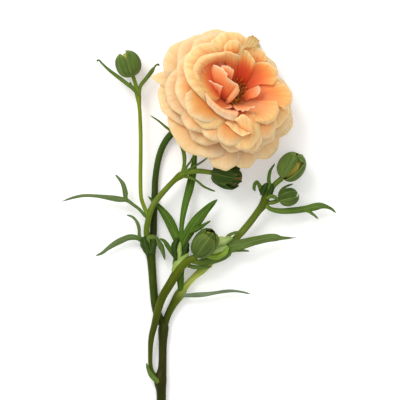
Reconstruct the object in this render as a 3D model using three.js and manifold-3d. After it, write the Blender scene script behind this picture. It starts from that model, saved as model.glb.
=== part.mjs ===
// A cut ranunculus, laid down: one open double bloom, five buds, and the leaves and bracts of its
// branched stem. Millimetres, +Z up. The plant lies along Y on the plane z = 0, bloom at the +Y end,
// and rests on its main stem and on the rims of the bloom's lowest petals.
import * as THREE from 'three';
import { mergeVertices } from 'three/addons/utils/BufferGeometryUtils.js';
import Module from 'manifold-3d';

const wasm = await Module();
wasm.setup();

// ---------------------------------------------------------------- driving dimensions (mm, degrees)
const GAP = 0.35;                 // left between pieces that meet
const PETAL_THICKNESS = 0.62;
const LEAF_THICKNESS = 0.7;
const STEM_SIDES = 8;
const THIN_STEM = 1.6;            // branches that stay under this radius have six sides
const STEM_STEPS = 1.1;           // bands of faces per point along a branch

const BLOOM_CENTRE = [14.6, 64.0, 11.9];   // top of the receptacle
const BLOOM_TILT = 25;                 // how far the bloom's axis leans from upright
const BLOOM_HEADING = 38;              // towards where it leans, from +X
const BLOOM_OPENING = 9;               // how much wider the bloom opens on the side it leans to
const OPEN_SIDE = 20;                  // azimuth where it opens widest
const PETAL_FAN = 52;                  // half the angle that a petal fans out to
const PETAL_CLAW = 1.2;                // half the width of a petal's root
const PETAL_RIM = 0.72;                // share of a petal's length from where its rim curls
const EYE_RADIUS = 5.2;                // stamens and carpels stay inside this
const EYE_FLOOR = 6;                   // height of the receptacle's top over BLOOM_CENTRE
const EYE_HEIGHT = 4.9;

// The outermost petals make the bloom's outline, so each has its own place, reach and width.
const GUARD = [
  { azimuth: 2, reach: 0.99, width: 0.80 },
  { azimuth: 38, reach: 0.92, width: 0.80 },
  { azimuth: 98, reach: 0.98, width: 0.84 },
  { azimuth: 143, reach: 1.00, width: 0.98 },
  { azimuth: 169, reach: 1.09, width: 0.52, point: 0.5, fold: 1.2 },
  { azimuth: 186, reach: 0.96, width: 0.84 },
  { azimuth: 224, reach: 0.96, width: 1.20 },
  { azimuth: 262, reach: 1.02, width: 0.52 },
  { azimuth: 281, reach: 1.00, width: 0.50 },
  { azimuth: 306, reach: 1.01, width: 0.66 },
  { azimuth: 338, reach: 1.01, width: 0.72 },
];
const DRIED = [{ azimuth: 64, reach: 1.06, width: 0.30, curl: 2.4 }];
const INNER = [
  { azimuth: 37 },
  { azimuth: 96 },
  { azimuth: 152 },
  { azimuth: 218, from: 58, to: -12 },
  { azimuth: 272, from: 56, to: -14 },
  { azimuth: 333, from: 60, to: -12 },
];
// Rings of petals, from the outside in. root and rise: where a petal starts, from the bloom's axis
// and over BLOOM_CENTRE. from and to: its slope at its root and at its rim. free: no side is hidden.
const RINGS = [
  { placed: GUARD, root: 4.5, rise: 0.0, from: 17, to: -13, length: 33.4, width: 0.76, curl: 0.6,
    free: true },
  { placed: DRIED, root: 4.5, rise: 1.5, from: 30, to: -10, length: 32.0, width: 0.30, curl: 2.0,
    free: true },
  { count: 7, first: 28, root: 4.5, rise: 1.8, from: 36, to: -20, length: 30.8, width: 0.92, curl: 1.3 },
  { count: 7, first: 28, root: 5.0, rise: 3.9, from: 54, to: -18, length: 28.8, width: 0.92, curl: 1.5 },
  { placed: INNER, root: 6.2, rise: 5.2, from: 64, to: -9, length: 27.0, width: 1.00, curl: 1.5 },
];
// How far the inner rings reach in each direction: azimuth, share of the ring's length.
const OUTLINE = [[0, 1.0], [20, 0.93], [60, 0.93], [90, 1.0], [120, 1.04], [190, 1.0], [205, 0.93],
  [240, 0.93], [262, 1.02], [320, 1.03], [360, 1.0]];
const DOWNWARD_NARROWING = 0.42;  // petals that point down the stem are this much narrower
const OPEN_SIDE_SHORTENING = 0.07;  // petals are this much shorter on the side that opens widest
const PETAL_SHOWS_FROM = 0.44;    // the lower part of a ring's petals is sunk in the head's core
const PETAL_UNDER = -0.55;        // where a petal goes under its neighbour, -1 to 1 across
const FACET_REACH = 1.04;         // flat faces cut a round rim short, so petals are this much longer
const FACET_LIFT = 0.8;           // and placed petals stand this much higher

// The petals of the cup and of the heart follow no ring. Each goes through rows of points [x, y, z],
// from its base to its rim. The heart's half-closed petals half hide the stamens.
const CUP = [
  [
    [[10.4, 64, 19], [10.2, 66.6, 18.8], [10.8, 69, 18.2], [12.6, 71.2, 17.6], [15.2, 72, 17]],
    [[5.4, 66.6, 23], [3.6, 71.4, 25], [4.6, 76.2, 25], [8.8, 79.4, 23.5], [14.2, 80.2, 22.5]],
    [[3.4, 66, 35], [0, 72.6, 37.5], [0.2, 77.8, 37.2], [4.6, 82, 34.6], [13.4, 84.2, 30.5]],
    [[3, 65.3, 35], [-2.2, 72.4, 36.6], [-2.8, 78.4, 36.4], [2.2, 84, 34], [13.6, 86.2, 30.6]],
  ],
  [
    [[14.5, 71.8, 17.4], [16.2, 72.2, 16.8], [18, 72, 16.2], [19.6, 71.4, 15.8]],
    [[13.6, 79, 23.5], [15.6, 79.2, 23], [18, 79, 22], [20.2, 78.4, 21.5]],
    [[12.4, 85.8, 29.5], [15.2, 85.6, 29.2], [18.4, 84.4, 28], [20.2, 83.8, 27.4]],
  ],
  [
    [[18.4, 71.6, 16.6], [20, 71, 16.2], [21.6, 70, 16], [22.6, 68.8, 16]],
    [[19.4, 78.6, 22.4], [21.8, 78.8, 22], [24, 77.4, 21.4], [25.8, 75.4, 20.8]],
    [[19.6, 84.6, 27.6], [22.8, 86.8, 27.2], [25.6, 84, 26], [27.8, 81.2, 25]],
  ],
  [
    [[21.6, 70.6, 16.6], [22.3, 69.9, 16.4], [22.8, 69, 16.4], [23, 67.8, 16.4], [23, 66.4, 16.6]],
    [[26, 77, 20.6], [28, 76.4, 20.4], [29.6, 74.6, 20.2], [30.2, 72.2, 20.2], [29.6, 69.8, 20.4]],
    [[27.2, 80.2, 23.6], [31.8, 80.2, 23.4], [35.8, 77.6, 23], [37.6, 73.6, 22.8], [37, 70, 23]],
    [[27.4, 80.6, 23.8], [32.6, 81.4, 23], [37.8, 78.6, 22.4], [40, 73.4, 22], [39.2, 69.2, 22.6]],
  ],
  [
    [[22.8, 67.4, 16.8], [23, 66.6, 16.9], [23, 65.6, 17], [22.6, 64.2, 17.4], [21.8, 62.8, 17.8]],
    [[31, 68.2, 20.2], [31.8, 66.8, 20], [32, 65.2, 20], [31.4, 63.4, 20.4], [29.8, 61.4, 21]],
    [[38.8, 68.4, 22.6], [42.4, 67.4, 22], [43.8, 64.6, 21.8], [43.2, 61.2, 22.2], [40, 59, 23]],
    [[40, 68.6, 22.4], [44.6, 68, 21], [46.6, 64.6, 20.6], [46, 60.2, 21], [42.4, 57.2, 22.2]],
  ],
  [
    [[22, 63.2, 17.6], [21.7, 62.4, 17.9], [21.2, 61.6, 18.2], [20.4, 60.6, 18.8], [19.2, 59.8, 19.2]],
    [[30.6, 62, 22], [31, 60.2, 22.2], [30.4, 58.2, 22.8], [28.2, 56.2, 23.6], [25, 55.4, 24.2]],
    [[37.4, 61.8, 25.6], [38.2, 58.4, 25.6], [37, 55, 26.2], [33.4, 52.4, 27], [28, 52, 28.6]],
    [[38.6, 62.2, 25.4], [40, 58, 25], [38.6, 53.4, 25.4], [34.4, 50, 26], [27, 50.8, 28.2]],
  ],
  [
    [[20, 58.6, 19.4], [17.6, 57.8, 20], [15.4, 58, 20.4]],
    [[24.4, 51.8, 29], [19.4, 51.4, 31], [14.4, 53, 32]],
    [[27, 47.2, 34.5], [21, 44.6, 37], [13.2, 51, 35.5]],
  ],
  [
    [[20.4, 49, 35.5], [23, 47.6, 35.5], [26.6, 45.2, 34]],
    [[19, 51, 36.5], [22.4, 51.2, 36], [26.4, 48.4, 34.5]],
    [[17.5, 51.8, 37], [21.8, 54.6, 37], [25.8, 51.8, 35.5]],
  ],
];
const HEART = [
  [
    [[11.9, 60.6, 18], [12.1, 60.5, 18], [12.3, 60.4, 18], [12.6, 60.2, 18], [12.8, 60, 18]],
    [[8.8, 65.8, 21.5], [10.6, 65.8, 24], [12.4, 65.4, 26], [14.2, 64.6, 26.3], [16.4, 63.4, 25]],
    [[5.4, 71.4, 26], [8.4, 71.4, 28.8], [11.4, 70.8, 30.6], [14, 68.8, 30.5], [18.4, 66.2, 28]],
    [[5.6, 75.8, 29], [9.2, 75.2, 31.6], [12.2, 73.8, 33], [14, 71, 32.4], [19.4, 68, 29.6]],
    [[6.7, 79.3, 32], [10.5, 77.7, 34], [13.1, 75.4, 34.4], [13.9, 72.7, 33.8], [19, 69.6, 31]],
  ],
  [
    [[12.6, 60.8, 18.5], [12.4, 60.2, 18.6], [12, 59.7, 18]],
    [[14.4, 63.2, 25.8], [15, 61.9, 26.2], [15.2, 61, 24.4]],
    [[16.2, 65.8, 28.6], [17.4, 64.4, 28.8], [18.1, 63.7, 26.8]],
    [[18, 68.2, 30.4], [19.2, 66.8, 30.4], [19.9, 66.2, 28.6]],
    [[18.9, 69.8, 31.6], [19.5, 69.2, 31.4], [19.8, 68.4, 30.4]],
  ],
  [
    [[13, 68, 25], [14, 68, 25], [15, 67.6, 25]],
    [[11.6, 73, 28], [13.8, 73.2, 29], [16, 71.6, 28.4]],
    [[10.4, 77, 30.4], [13.6, 77, 31.4], [16.9, 74.6, 30.2]],
    [[11.2, 79, 31.2], [14.6, 78.7, 31.6], [17.4, 76.7, 30.6]],
  ],
  [
    [[5, 70.6, 24], [5.5, 70.8, 25], [5.9, 71, 24]],
    [[2.9, 73.2, 29], [3.9, 73.9, 30.5], [4.6, 73.9, 29]],
    [[1.2, 76.2, 33], [2, 76.8, 34], [2.9, 76.4, 33]],
    [[0.9, 78.5, 35.5], [1.1, 78.4, 36], [1.3, 78.3, 35.5]],
  ],
  [
    [[10.4, 58.9, 18], [10.7, 58.8, 18], [11, 58.7, 18], [11.3, 58.5, 18]],
    [[6.4, 62.8, 22], [8.2, 62.4, 21.5], [9.6, 62.2, 22.5], [10.3, 62, 24.5]],
    [[3.6, 67.6, 27], [6.2, 66.6, 25.8], [8.8, 66, 26.5], [10.5, 65.4, 28.5]],
    [[1.4, 73.4, 34.5], [4.2, 71.6, 32.5], [7.6, 69.9, 32], [11.5, 68.3, 32.5]],
  ],
  [
    [[11.9, 60.4, 19.5], [13.6, 60.6, 19.5], [15.6, 60.4, 19.5]],
    [[12.2, 59, 25], [14.2, 59, 24.8], [16.3, 59.3, 24.6]],
    [[12.6, 57.6, 28.5], [14.6, 57.4, 29], [16.6, 58, 28.5]],
  ],
  [
    [[16.6, 60.6, 19], [19, 60.6, 19], [21.5, 60.4, 19]],
    [[16.9, 59, 25], [20.3, 58.7, 24.5], [24, 58.8, 25.5]],
    [[17.6, 56.9, 29.5], [22.6, 56.2, 28.2], [28, 58.6, 29]],
  ],
  [
    [[20.8, 63.2, 17.4], [21.2, 62.2, 17], [21.2, 61.2, 17.2]],
    [[23.6, 66.6, 22.2], [24.4, 64.8, 21.6], [25, 62.8, 22.2]],
    [[26.8, 68.3, 24.4], [27.4, 66.3, 23.8], [28, 63.6, 24.2]],
    [[29.4, 69.2, 25.6], [30.2, 67.8, 25.4], [30, 65.6, 25.2]],
  ],
  [
    [[7.5, 64.5, 19], [9, 61.5, 18.5], [11.5, 59.3, 18], [14.5, 58.6, 18], [16.5, 58.6, 18]],
    [[5.2, 65.2, 28], [7.2, 61.4, 28], [11.2, 58.2, 27.5], [15.2, 57.2, 27], [18, 57, 26]],
    [[3.7, 65.3, 36.6], [6.4, 61.4, 37.8], [11.4, 57.3, 37.6], [16, 55.9, 36.6], [19.4, 55.4, 35.2]],
    [[2.9, 64.9, 36], [4.6, 59.4, 36.6], [10, 54.4, 36.4], [15.2, 51.9, 35.8], [17.6, 51.6, 35]],
  ],
];
const ROOT_DEPTH = 3;             // how far a petal's root is sunk below its base, along the bloom's axis

const SEPALS = {
  count: 5, first: 60, root: 2.4, rise: -1.4, from: -6, to: -30, length: 13, width: 0.5, tightest: 4,
  cup: -0.3, curl: 0.8,
};

// Stem and branches: points along the middle, [x, y, z, radius]. They swell where leaves grow.
const STEM = {
  main: [[-19, -97.5, 2.25, 2.5], [-19, -84, 2.2, 2.45], [-19.4, -78.4, 2.3, 3.2],
    [-18.5, -72.5, 2.0, 2.2], [-18.2, -60, 1.9, 2.1], [-17.8, -51, 2.2, 2.7]],
  front: [[-20.6, -78.5, 2.4, 1.3], [-24.0, -73, 2.6, 1.1], [-24.5, -64.9, 3.2, 1.15],
    [-23.9, -56.7, 4.8, 1.5], [-22.3, -50.2, 6.4, 1.7], [-20.5, -42.6, 7.3, 1.9],
    [-18.2, -36.1, 7.7, 2.1], [-14.4, -29.6, 8.3, 2.2], [-10.1, -22.5, 9.4, 2.2],
    [-6.3, -18.6, 10.4, 2.0], [-1.4, -15.8, 11.2, 1.5]],
  right: [[-17.2, -50.5, 2.3, 1.7], [-15.8, -45.9, 2.6, 1.7], [-12.8, -39.9, 2.8, 2.0],
    [-9.6, -34.9, 3.0, 2.6], [-6.8, -31.0, 3.1, 1.7], [-2.5, -26.4, 3.2, 1.5],
    [1.3, -23.1, 3.4, 1.9], [6.7, -18.2, 3.6, 1.7], [13.5, -11.8, 4.0, 1.7],
    [22.8, -2.3, 5.0, 1.8], [29.8, 6.8, 7.0, 1.8], [32.6, 10.8, 8.4, 2.2],
    [33.7, 16, 9.2, 1.8]],
  left: [[-17.8, -51, 2.1, 2.2], [-20.6, -45.5, 2.0, 2.1], [-22, -40.5, 1.9, 2.05],
    [-23, -31, 1.8, 2.0], [-23.6, -22.5, 1.9, 2.05], [-24.2, -15.5, 2.3, 2.4],
    [-24.8, -11.5, 2.9, 3.3], [-25.2, -8.2, 3.2, 2.3]],
  bloom: [[-24.2, -11, 2.2, 2.1], [-23.1, -5, 1.8, 1.85], [-22.8, 5, 1.7, 1.8],
    [-22.3, 14, 1.7, 1.7], [-22, 23, 1.8, 1.6], [-20.3, 33.5, 2.2, 1.6], [-18, 40, 2.6, 1.65],
    [-15, 44.5, 2.9, 1.7], [-11, 48, 3.1, 1.7], [-4.5, 52.5, 3.3, 1.7], [2.5, 57, 3.7, 1.75]],
  nodding: [[-25.4, -9, 3.8, 1.6], [-26.4, -3.5, 5.0, 1.5],
    [-25.3, 3.5, 6.3, 1.5], [-23.5, 9, 7.2, 1.5], [-20.8, 13, 7.6, 1.45], [-17, 17.5, 7.9, 1.43],
    [-12.4, 22.3, 8.1, 1.4], [-9.2, 24.8, 8.4, 1.9], [-5.5, 26.3, 8.9, 1.4], [-0.5, 27, 9.4, 1.3],
    [7.0, 26.2, 10.1, 1.2]],
  tall: [[-25.8, 5, 6.4, 1.1], [-27.5, 9, 7.0, 1.05], [-29, 13.5, 7.2, 1.0],
    [-29.4, 22, 7.2, 1.0], [-29.3, 36, 7.2, 1.0], [-29.4, 49, 7.3, 1.0],
    [-30, 60, 7.5, 1.0], [-30.7, 65.7, 7.7, 1.55], [-31.8, 70.5, 7.9, 1.0],
    [-33.2, 74.9, 8.1, 1.0]],
  rightLarge: [[33.5, 14.8, 9.2, 1.5], [36, 17.5, 9.4, 1.3], [38, 20.3, 9.5, 1.3],
    [41.6, 23.4, 9.6, 1.35]],
  rightSmall: [[33.3, 11, 8.6, 1.2], [37.5, 11.4, 8.8, 1.1], [40.6, 12.8, 9.0, 1.1]],
};

// Buds: middle, the way the tip points, and half the width and length over the sepals.
const BUDS = {
  top_left: { at: [-35.5, 80.5, 8.3], tip: [-0.34, 0.94, 0.05], radius: 6.1, half: 6.4, turn: 10 },
  nodding: { at: [14.5, 24.6, 10.2], tip: [0.98, -0.2, 0.0], radius: 6.2, half: 8.2, turn: 40 },
  right_large: { at: [46.3, 29.0, 9.8], tip: [0.64, 0.77, 0.05], radius: 6.5, half: 7.4, turn: 20 },
  right_small: { at: [44.6, 14.0, 9.2], tip: [0.96, 0.28, 0.0], radius: 4.3, half: 4.8, turn: 0 },
  centre: { at: [2.8, -9.6, 11.8], tip: [0.57, 0.82, 0.1], radius: 6.0, half: 7.6, turn: 65 },
};
const BUD_SEPALS = 5;
const BUD_PETALS = 3;
const BUD_SEPAL_THICKNESS = 0.8;
const BUD_SEPAL_TUCK = 0.3;       // one edge of a sepal lies over its neighbour's
const BUD_SHELL = 1.9;            // from the outside of the sepals to the petals inside

// Leaves and bracts: each blade is a row of [x, y, z, width] from its root to its tip.
const LEAVES = {
  leaf_left_forked: [
    [[-25.6, 3.4, 6.6, 1.4], [-27.2, 4.6, 7.0, 1.4], [-29.7, 7.6, 7.2, 1.4], [-33, 10.1, 7.1, 1.5],
      [-36.4, 12.4, 6.9, 2.0], [-40, 12.9, 6.6, 2.6], [-43.8, 13.5, 6.2, 2.7],
      [-51.3, 14.5, 5.4, 1.7], [-57.9, 14.7, 4.6, 1.4], [-63.3, 13.7, 3.8, 1.2],
      [-69.1, 11.8, 3.0, 0.5]],
    [[-36.2, 11.8, 6.9, 1.4], [-36.9, 14.2, 6.9, 2.0], [-37.2, 17, 7.0, 2.5], [-38.2, 20.5, 7.2, 2.0],
      [-40, 23, 7.2, 1.4], [-42, 25.2, 7.0, 0.5]],
  ],
  leaf_left_lower: [
    [[-26.5, -9.8, 5.0, 1.8], [-28.5, -8.3, 5.2, 2.0], [-31, -6.6, 5.1, 2.2], [-35.1, -6.3, 5.0, 2.9],
      [-38, -7.3, 4.8, 3.1], [-42.2, -9.4, 4.4, 2.6], [-45.9, -11.9, 4.0, 2.0],
      [-48.8, -14.2, 3.4, 1.4], [-52.1, -15.6, 3.0, 0.5]],
    [[-28.8, -8.6, 5.4, 1.4], [-29.9, -5.5, 6.4, 1.5], [-30.2, -1.5, 6.8, 1.6],
      [-31.4, 1.8, 6.7, 1.4], [-33.5, 4.0, 6.4, 1.1], [-36.4, 5, 6.0, 0.5]],
  ],
  leaf_left_drooping: [
    [[-25.8, -9.4, 6.0, 1.8], [-25.2, -6.4, 7.1, 2.1], [-22.3, -6.5, 6.9, 2.4], [-20.2, -9, 6.2, 2.6],
      [-18.5, -12.3, 5.3, 2.3], [-17.1, -17.7, 4.2, 0.6]],
  ],
  leaf_centre_lobed: [
    [[-7.6, -18.5, 8.2, 3.0], [-9.4, -15, 8.4, 4.4], [-9.8, -11.5, 8.6, 5.2], [-10.6, -8, 8.6, 4.6],
      [-12.5, -3.5, 8.0, 4.6], [-15, 2, 6.8, 4.4], [-18, 6.5, 5.6, 3.7], [-21, 10, 4.95, 2.4],
      [-23.6, 12.5, 4.75, 1.4], [-25.6, 14.3, 4.75, 0.5]],
    [[-9.2, -12, 8.8, 2.6], [-9, -6.5, 8.8, 2.4], [-8.5, 1.5, 8.0, 2.3], [-7, 10, 6.8, 3.2],
      [-5, 17.5, 5.7, 4.2], [-3.3, 25, 5.3, 3.4], [-2.3, 32.5, 5.5, 2.5], [-1.8, 39.5, 6.0, 1.8],
      [-2, 45, 6.5, 0.5]],
    [[-9, -12, 9.0, 2.6], [-7.2, -7.5, 9.2, 4.0], [-3.8, -1.5, 8.6, 5.7], [0.5, 4, 7.6, 4.8],
      [4.5, 8.5, 7.0, 3.6], [7.5, 11.3, 6.8, 1.8], [9.3, 12.8, 6.8, 0.5]],
    [[-4.5, -3.6, 9.0, 2.0], [-1.2, -2.2, 8.9, 2.2], [2.2, -0.2, 8.6, 1.7], [5.8, 2.1, 8.3, 0.5]],
    [[-8.2, -17.4, 8.4, 1.8], [-10.8, -16.6, 8.3, 1.9], [-13.2, -14.4, 8.2, 2.1],
      [-15.7, -10.6, 8.2, 2.1], [-17.6, -8, 8.3, 1.6], [-19.8, -6.9, 8.4, 0.6]],
  ],
  leaf_centre_hidden: [
    [[-9.2, -34.4, 5.2, 2.6], [-9.3, -30, 5.2, 3.0], [-9.5, -25, 5.4, 4.0], [-10, -20, 5.5, 6.2],
      [-10, -15, 5.6, 5.0], [-9.6, -10, 5.6, 0.8]],
  ],
  leaf_right_long: [
    [[-3.2, -18.2, 9.4, 2.4], [0.5, -18.8, 8.2, 3.0], [5.5, -17.6, 7.7, 4.6], [10.5, -13.8, 7.8, 9.0],
      [13.4, -11.2, 8.2, 10.0], [16.8, -10.2, 8.8, 6.4], [21, -9.8, 9.0, 5.0], [28, -8, 8.7, 4.4],
      [35.5, -6.5, 8.0, 4.2], [38.8, -6.4, 7.8, 3.4], [41, -6.6, 7.6, 2.0], [48.8, -6.5, 7.0, 0.5]],
    [[12, -13.4, 8.0, 2.0], [16, -13, 8.1, 1.9], [20.2, -12.7, 8.0, 1.6], [25.3, -13.2, 7.6, 0.5]],
    [[12.6, -8, 8.4, 2.0], [15, -5.4, 8.3, 1.7], [18, -3.9, 8.1, 1.3], [21, -3.2, 7.8, 0.5]],
  ],
  bract_centre_bud: [
    [[-5.6, -20.4, 9.2, 1.8], [-2.2, -21.2, 8.8, 2.0], [2.5, -21.3, 8.6, 1.6], [6.3, -21, 8.4, 0.5]],
  ],
  leaf_tall_forked: [
    [[-8.6, 25.6, 9.9, 1.6], [-7.6, 29, 9.8, 1.6], [-7.3, 33.4, 9.5, 2.0], [-8.2, 38, 9.2, 1.7],
      [-11, 43.5, 8.8, 1.4], [-13.8, 46.8, 8.6, 1.2], [-17.5, 49.8, 8.4, 1.0],
      [-20.7, 52.5, 8.2, 0.8], [-24.4, 54.9, 8.0, 0.5]],
    [[-7.6, 26.6, 9.9, 1.2], [-6, 29.4, 9.9, 1.1], [-4.3, 31.8, 9.7, 0.8], [-3.3, 34, 9.4, 0.5]],
    [[-8.2, 25.6, 10.3, 1.2], [-4.6, 28.2, 10.3, 1.0], [-0.5, 30.4, 9.7, 0.9], [4.5, 33.9, 8.8, 0.5]],
  ],
  leaf_under_nodding_bud: [
    [[-8.4, 24.2, 9.8, 1.2], [-5, 23.8, 9.2, 1.2], [-1, 22, 9.0, 1.1], [2.2, 19.4, 8.6, 1.0],
      [5.5, 17.8, 8.0, 0.9], [8.2, 16.8, 7.6, 0.5]],
  ],
  leaf_lower_right: [
    [[-9.0, -35.4, 4.6, 1.8], [-6.3, -35.5, 4.8, 1.9], [-2, -35.3, 4.6, 2.3], [3, -35, 4.3, 2.1],
      [8, -34.3, 4.0, 1.7], [13, -33.5, 3.8, 1.5], [17, -33.3, 3.6, 1.3], [21.5, -33.8, 3.2, 1.0],
      [25.8, -34.8, 2.6, 0.5]],
  ],
  bract_top_left_outer: [
    [[-30.6, 65.2, 9.5, 1.5], [-32.6, 67.7, 9.3, 1.6], [-37.9, 72.2, 8.0, 1.8],
      [-45.1, 77.8, 6.8, 1.6], [-49.2, 81.2, 6.2, 1.3], [-51.2, 82.9, 6.0, 0.5]],
    [[-31.2, 66.2, 9.5, 1.3], [-33.4, 69.2, 9.6, 1.2], [-34.8, 71.8, 9.6, 0.5]],
  ],
  bract_top_left_inner: [
    [[-29.9, 65.6, 9.0, 1.4], [-29.4, 69.6, 8.9, 1.6], [-26.3, 73.8, 8.4, 2.0],
      [-24.1, 77, 8.0, 1.7], [-22.1, 79.2, 7.6, 1.2], [-20, 80.5, 7.4, 0.5]],
  ],
  leaf_right_upper: [
    [[34.2, 15.6, 10.4, 1.6], [35.3, 19, 10.9, 1.7], [35.0, 23.2, 10.8, 1.8],
      [35.7, 27, 10.4, 1.4], [38.0, 30.8, 9.9, 0.5]],
    [[34, 15.4, 10.5, 1.6], [31.8, 16.8, 10.7, 2.3], [30.4, 19.4, 10.7, 2.0], [29.4, 22, 10.5, 0.6]],
    [[32.2, 16, 10.7, 1.4], [29.6, 16.8, 10.5, 2.0], [28.2, 18.6, 10.2, 1.6], [27.8, 21, 9.9, 0.6]],
  ],
  leaf_right_lower: [
    [[33.6, 9.6, 10.2, 1.8], [36, 8.0, 9.4, 2.2], [40.5, 7.0, 8.6, 2.7], [47, 7.2, 7.8, 2.9],
      [53, 8, 7.0, 3.3], [58, 9, 6.4, 3.8], [61.4, 9.6, 6.0, 2.8], [64.5, 9, 5.6, 1.8],
      [67, 7.8, 5.2, 1.2], [68.9, 6, 4.8, 0.5]],
    [[53, 7.6, 7.0, 1.6], [55.5, 6.6, 6.7, 1.5], [57.5, 5.2, 6.4, 1.2], [59.9, 3.1, 6.0, 0.5]],
  ],
  bract_right_front: [
    [[33.8, 13.4, 11.3, 1.6], [36.4, 14.4, 11.6, 1.9], [38.6, 13.6, 11.5, 1.5], [40, 12.6, 11.2, 0.6]],
  ],
  bract_right_small: [
    [[40.2, 13.6, 9.9, 1.2], [40.7, 16.4, 8.6, 1.3], [43, 18.9, 7.6, 1.2], [47.2, 20.6, 7.0, 0.5]],
  ],
  bract_lowest: [
    [[-20.2, -79.2, 5.2, 2.4], [-23.4, -76.4, 5.4, 2.4], [-25.5, -72.8, 5.3, 1.6],
      [-26.4, -69.6, 5.1, 0.6]],
  ],
};
const NARROW_LEAF = 2.2;
const LEAF_ARCH = 0.14;          // a blade's rib stands this share of its width above its edges

const COLOURS = {
  stem: '#566b1e', petal: '#f0b878', calyx: '#6e8a3c', stamen: '#8a5a18', carpel: '#9a8a2a',
  budSepal: '#52702a', budPetal: '#b6b04e', leaf: '#5c7a38',
};

// ---------------------------------------------------------------- solids
const radians = THREE.MathUtils.degToRad;

function solidOf(geometry) {
  const bare = geometry.clone();
  bare.deleteAttribute('normal');
  bare.deleteAttribute('uv');
  const merged = mergeVertices(bare, 1e-4);
  return new wasm.Manifold(new wasm.Mesh({
    numProp: 3,
    vertProperties: new Float32Array(merged.attributes.position.array),
    triVerts: new Uint32Array(merged.index.array),
  }));
}

function geometryOf(solid) {
  const mesh = solid.getMesh();
  const geometry = new THREE.BufferGeometry();
  geometry.setAttribute('position', new THREE.BufferAttribute(new Float32Array(mesh.vertProperties), 3));
  geometry.setIndex(new THREE.BufferAttribute(new Uint32Array(mesh.triVerts), 1));
  geometry.computeVertexNormals();
  return geometry;
}

function joined(solids) {
  return solids.reduce((all, solid) => all.add(solid));
}

// The one body that a cut leaves: loose scraps are dropped.
function largest(solid) {
  const bodies = solid.decompose();
  return bodies.reduce((best, body) => (body.volume() > best.volume() ? body : best));
}

const aboveFloor = solidOf(new THREE.BoxGeometry(400, 400, 200).translate(0, 0, 100));

// A closed sheet from rows of points: two faces, split along the same diagonals, and a rim.
function sheet(surface, rows, columns, thickness) {
  const step = 1e-3;
  const top = [];
  const bottom = [];
  for (let i = 0; i <= rows; i++) {
    for (let j = 0; j <= columns; j++) {
      const u = i / rows;
      const v = (2 * j) / columns - 1;
      const middle = surface(u, v);
      const du = surface(Math.min(u + step, 1), v).sub(surface(Math.max(u - step, 0), v));
      const dv = surface(u, Math.min(v + step, 1)).sub(surface(u, Math.max(v - step, -1)));
      const normal = dv.cross(du).normalize().multiplyScalar(thickness / 2);
      top.push(middle.clone().add(normal));
      bottom.push(middle.clone().sub(normal));
    }
  }
  const row = columns + 1;
  const under = top.length;
  const index = [];
  for (let i = 0; i < rows; i++) {
    for (let j = 0; j < columns; j++) {
      const a = i * row + j;
      const [b, c, d] = [a + 1, a + row + 1, a + row];
      index.push(a, b, c, a, c, d);
      index.push(a + under, c + under, b + under, a + under, d + under, c + under);
    }
  }
  const rim = [];
  for (let j = 0; j < columns; j++) rim.push(j);
  for (let i = 0; i < rows; i++) rim.push(i * row + columns);
  for (let j = columns; j > 0; j--) rim.push(rows * row + j);
  for (let i = rows; i > 0; i--) rim.push(i * row);
  rim.forEach((a, k) => {
    const b = rim[(k + 1) % rim.length];
    index.push(a, a + under, b + under, a, b + under, b);
  });
  const geometry = new THREE.BufferGeometry().setFromPoints([...top, ...bottom]);
  geometry.setIndex(index);
  return solidOf(geometry);
}

// Values of the rows' fourth column, between the points.
function along(rows, t) {
  const place = t * (rows.length - 1);
  const i = Math.min(Math.floor(place), rows.length - 2);
  return THREE.MathUtils.lerp(rows[i][3], rows[i + 1][3], place - i);
}

// The part of a ring's petal that isn't sunk in the core. Its columns stand closer at its sides.
function shownPetal(surface) {
  return (u, v) => surface(PETAL_SHOWS_FROM + (1 - PETAL_SHOWS_FROM) * u, Math.sin((Math.PI / 2) * v));
}

// The same, without the side that lies hidden under its neighbour.
function tuckedPetal(surface) {
  return (u, v) => surface(
    PETAL_SHOWS_FROM + (1 - PETAL_SHOWS_FROM) * u, THREE.MathUtils.lerp(PETAL_UNDER, 1, (v + 1) / 2));
}

function spine(rows) {
  return new THREE.CatmullRomCurve3(rows.map(([x, y, z]) => new THREE.Vector3(x, y, z)));
}

// A tapered stalk: a cylinder bent along the rows.
function stalk(rows, extra = 0) {
  const curve = spine(rows);
  const steps = Math.ceil((rows.length - 1) * STEM_STEPS);
  const sides = Math.max(...rows.map((row) => row[3])) < THIN_STEM ? 6 : STEM_SIDES;
  const geometry = new THREE.CylinderGeometry(1, 1, 1, sides, steps);
  const position = geometry.attributes.position;
  const up = new THREE.Vector3(0, 0, 1);
  for (let i = 0; i < position.count; i++) {
    const t = THREE.MathUtils.clamp(position.getY(i) + 0.5, 0, 1);
    const tangent = curve.getTangent(t);
    const aside = new THREE.Vector3().crossVectors(tangent, up).normalize();
    const raised = new THREE.Vector3().crossVectors(tangent, aside);
    const radius = along(rows, t) + extra;
    const point = curve.getPoint(t);
    const overrun = (t === 0 ? -extra : 0) + (t === 1 ? extra : 0);
    point.addScaledVector(aside, position.getZ(i) * radius);
    point.addScaledVector(raised, position.getX(i) * radius);
    point.addScaledVector(tangent, overrun);
    position.setXYZ(i, point.x, point.y, point.z);
  }
  return solidOf(geometry);
}

// ---------------------------------------------------------------- stem
function neckRows() {
  const bend = (height) => onBloom(0, 0, height).toArray();
  return [[-4.5, 52.5, 3.3, 1.7], [2.5, 57, 3.7, 1.75], [...bend(-8.4), 1.85],
    [...bend(-5.2), 2.0], [...bend(STEM_TOP), 2.4]];
}

function stemSolid(extra = 0) {
  const branches = Object.values(STEM).map((rows) => stalk(rows, extra));
  return joined([...branches, stalk(neckRows(), extra)]);
}

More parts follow.
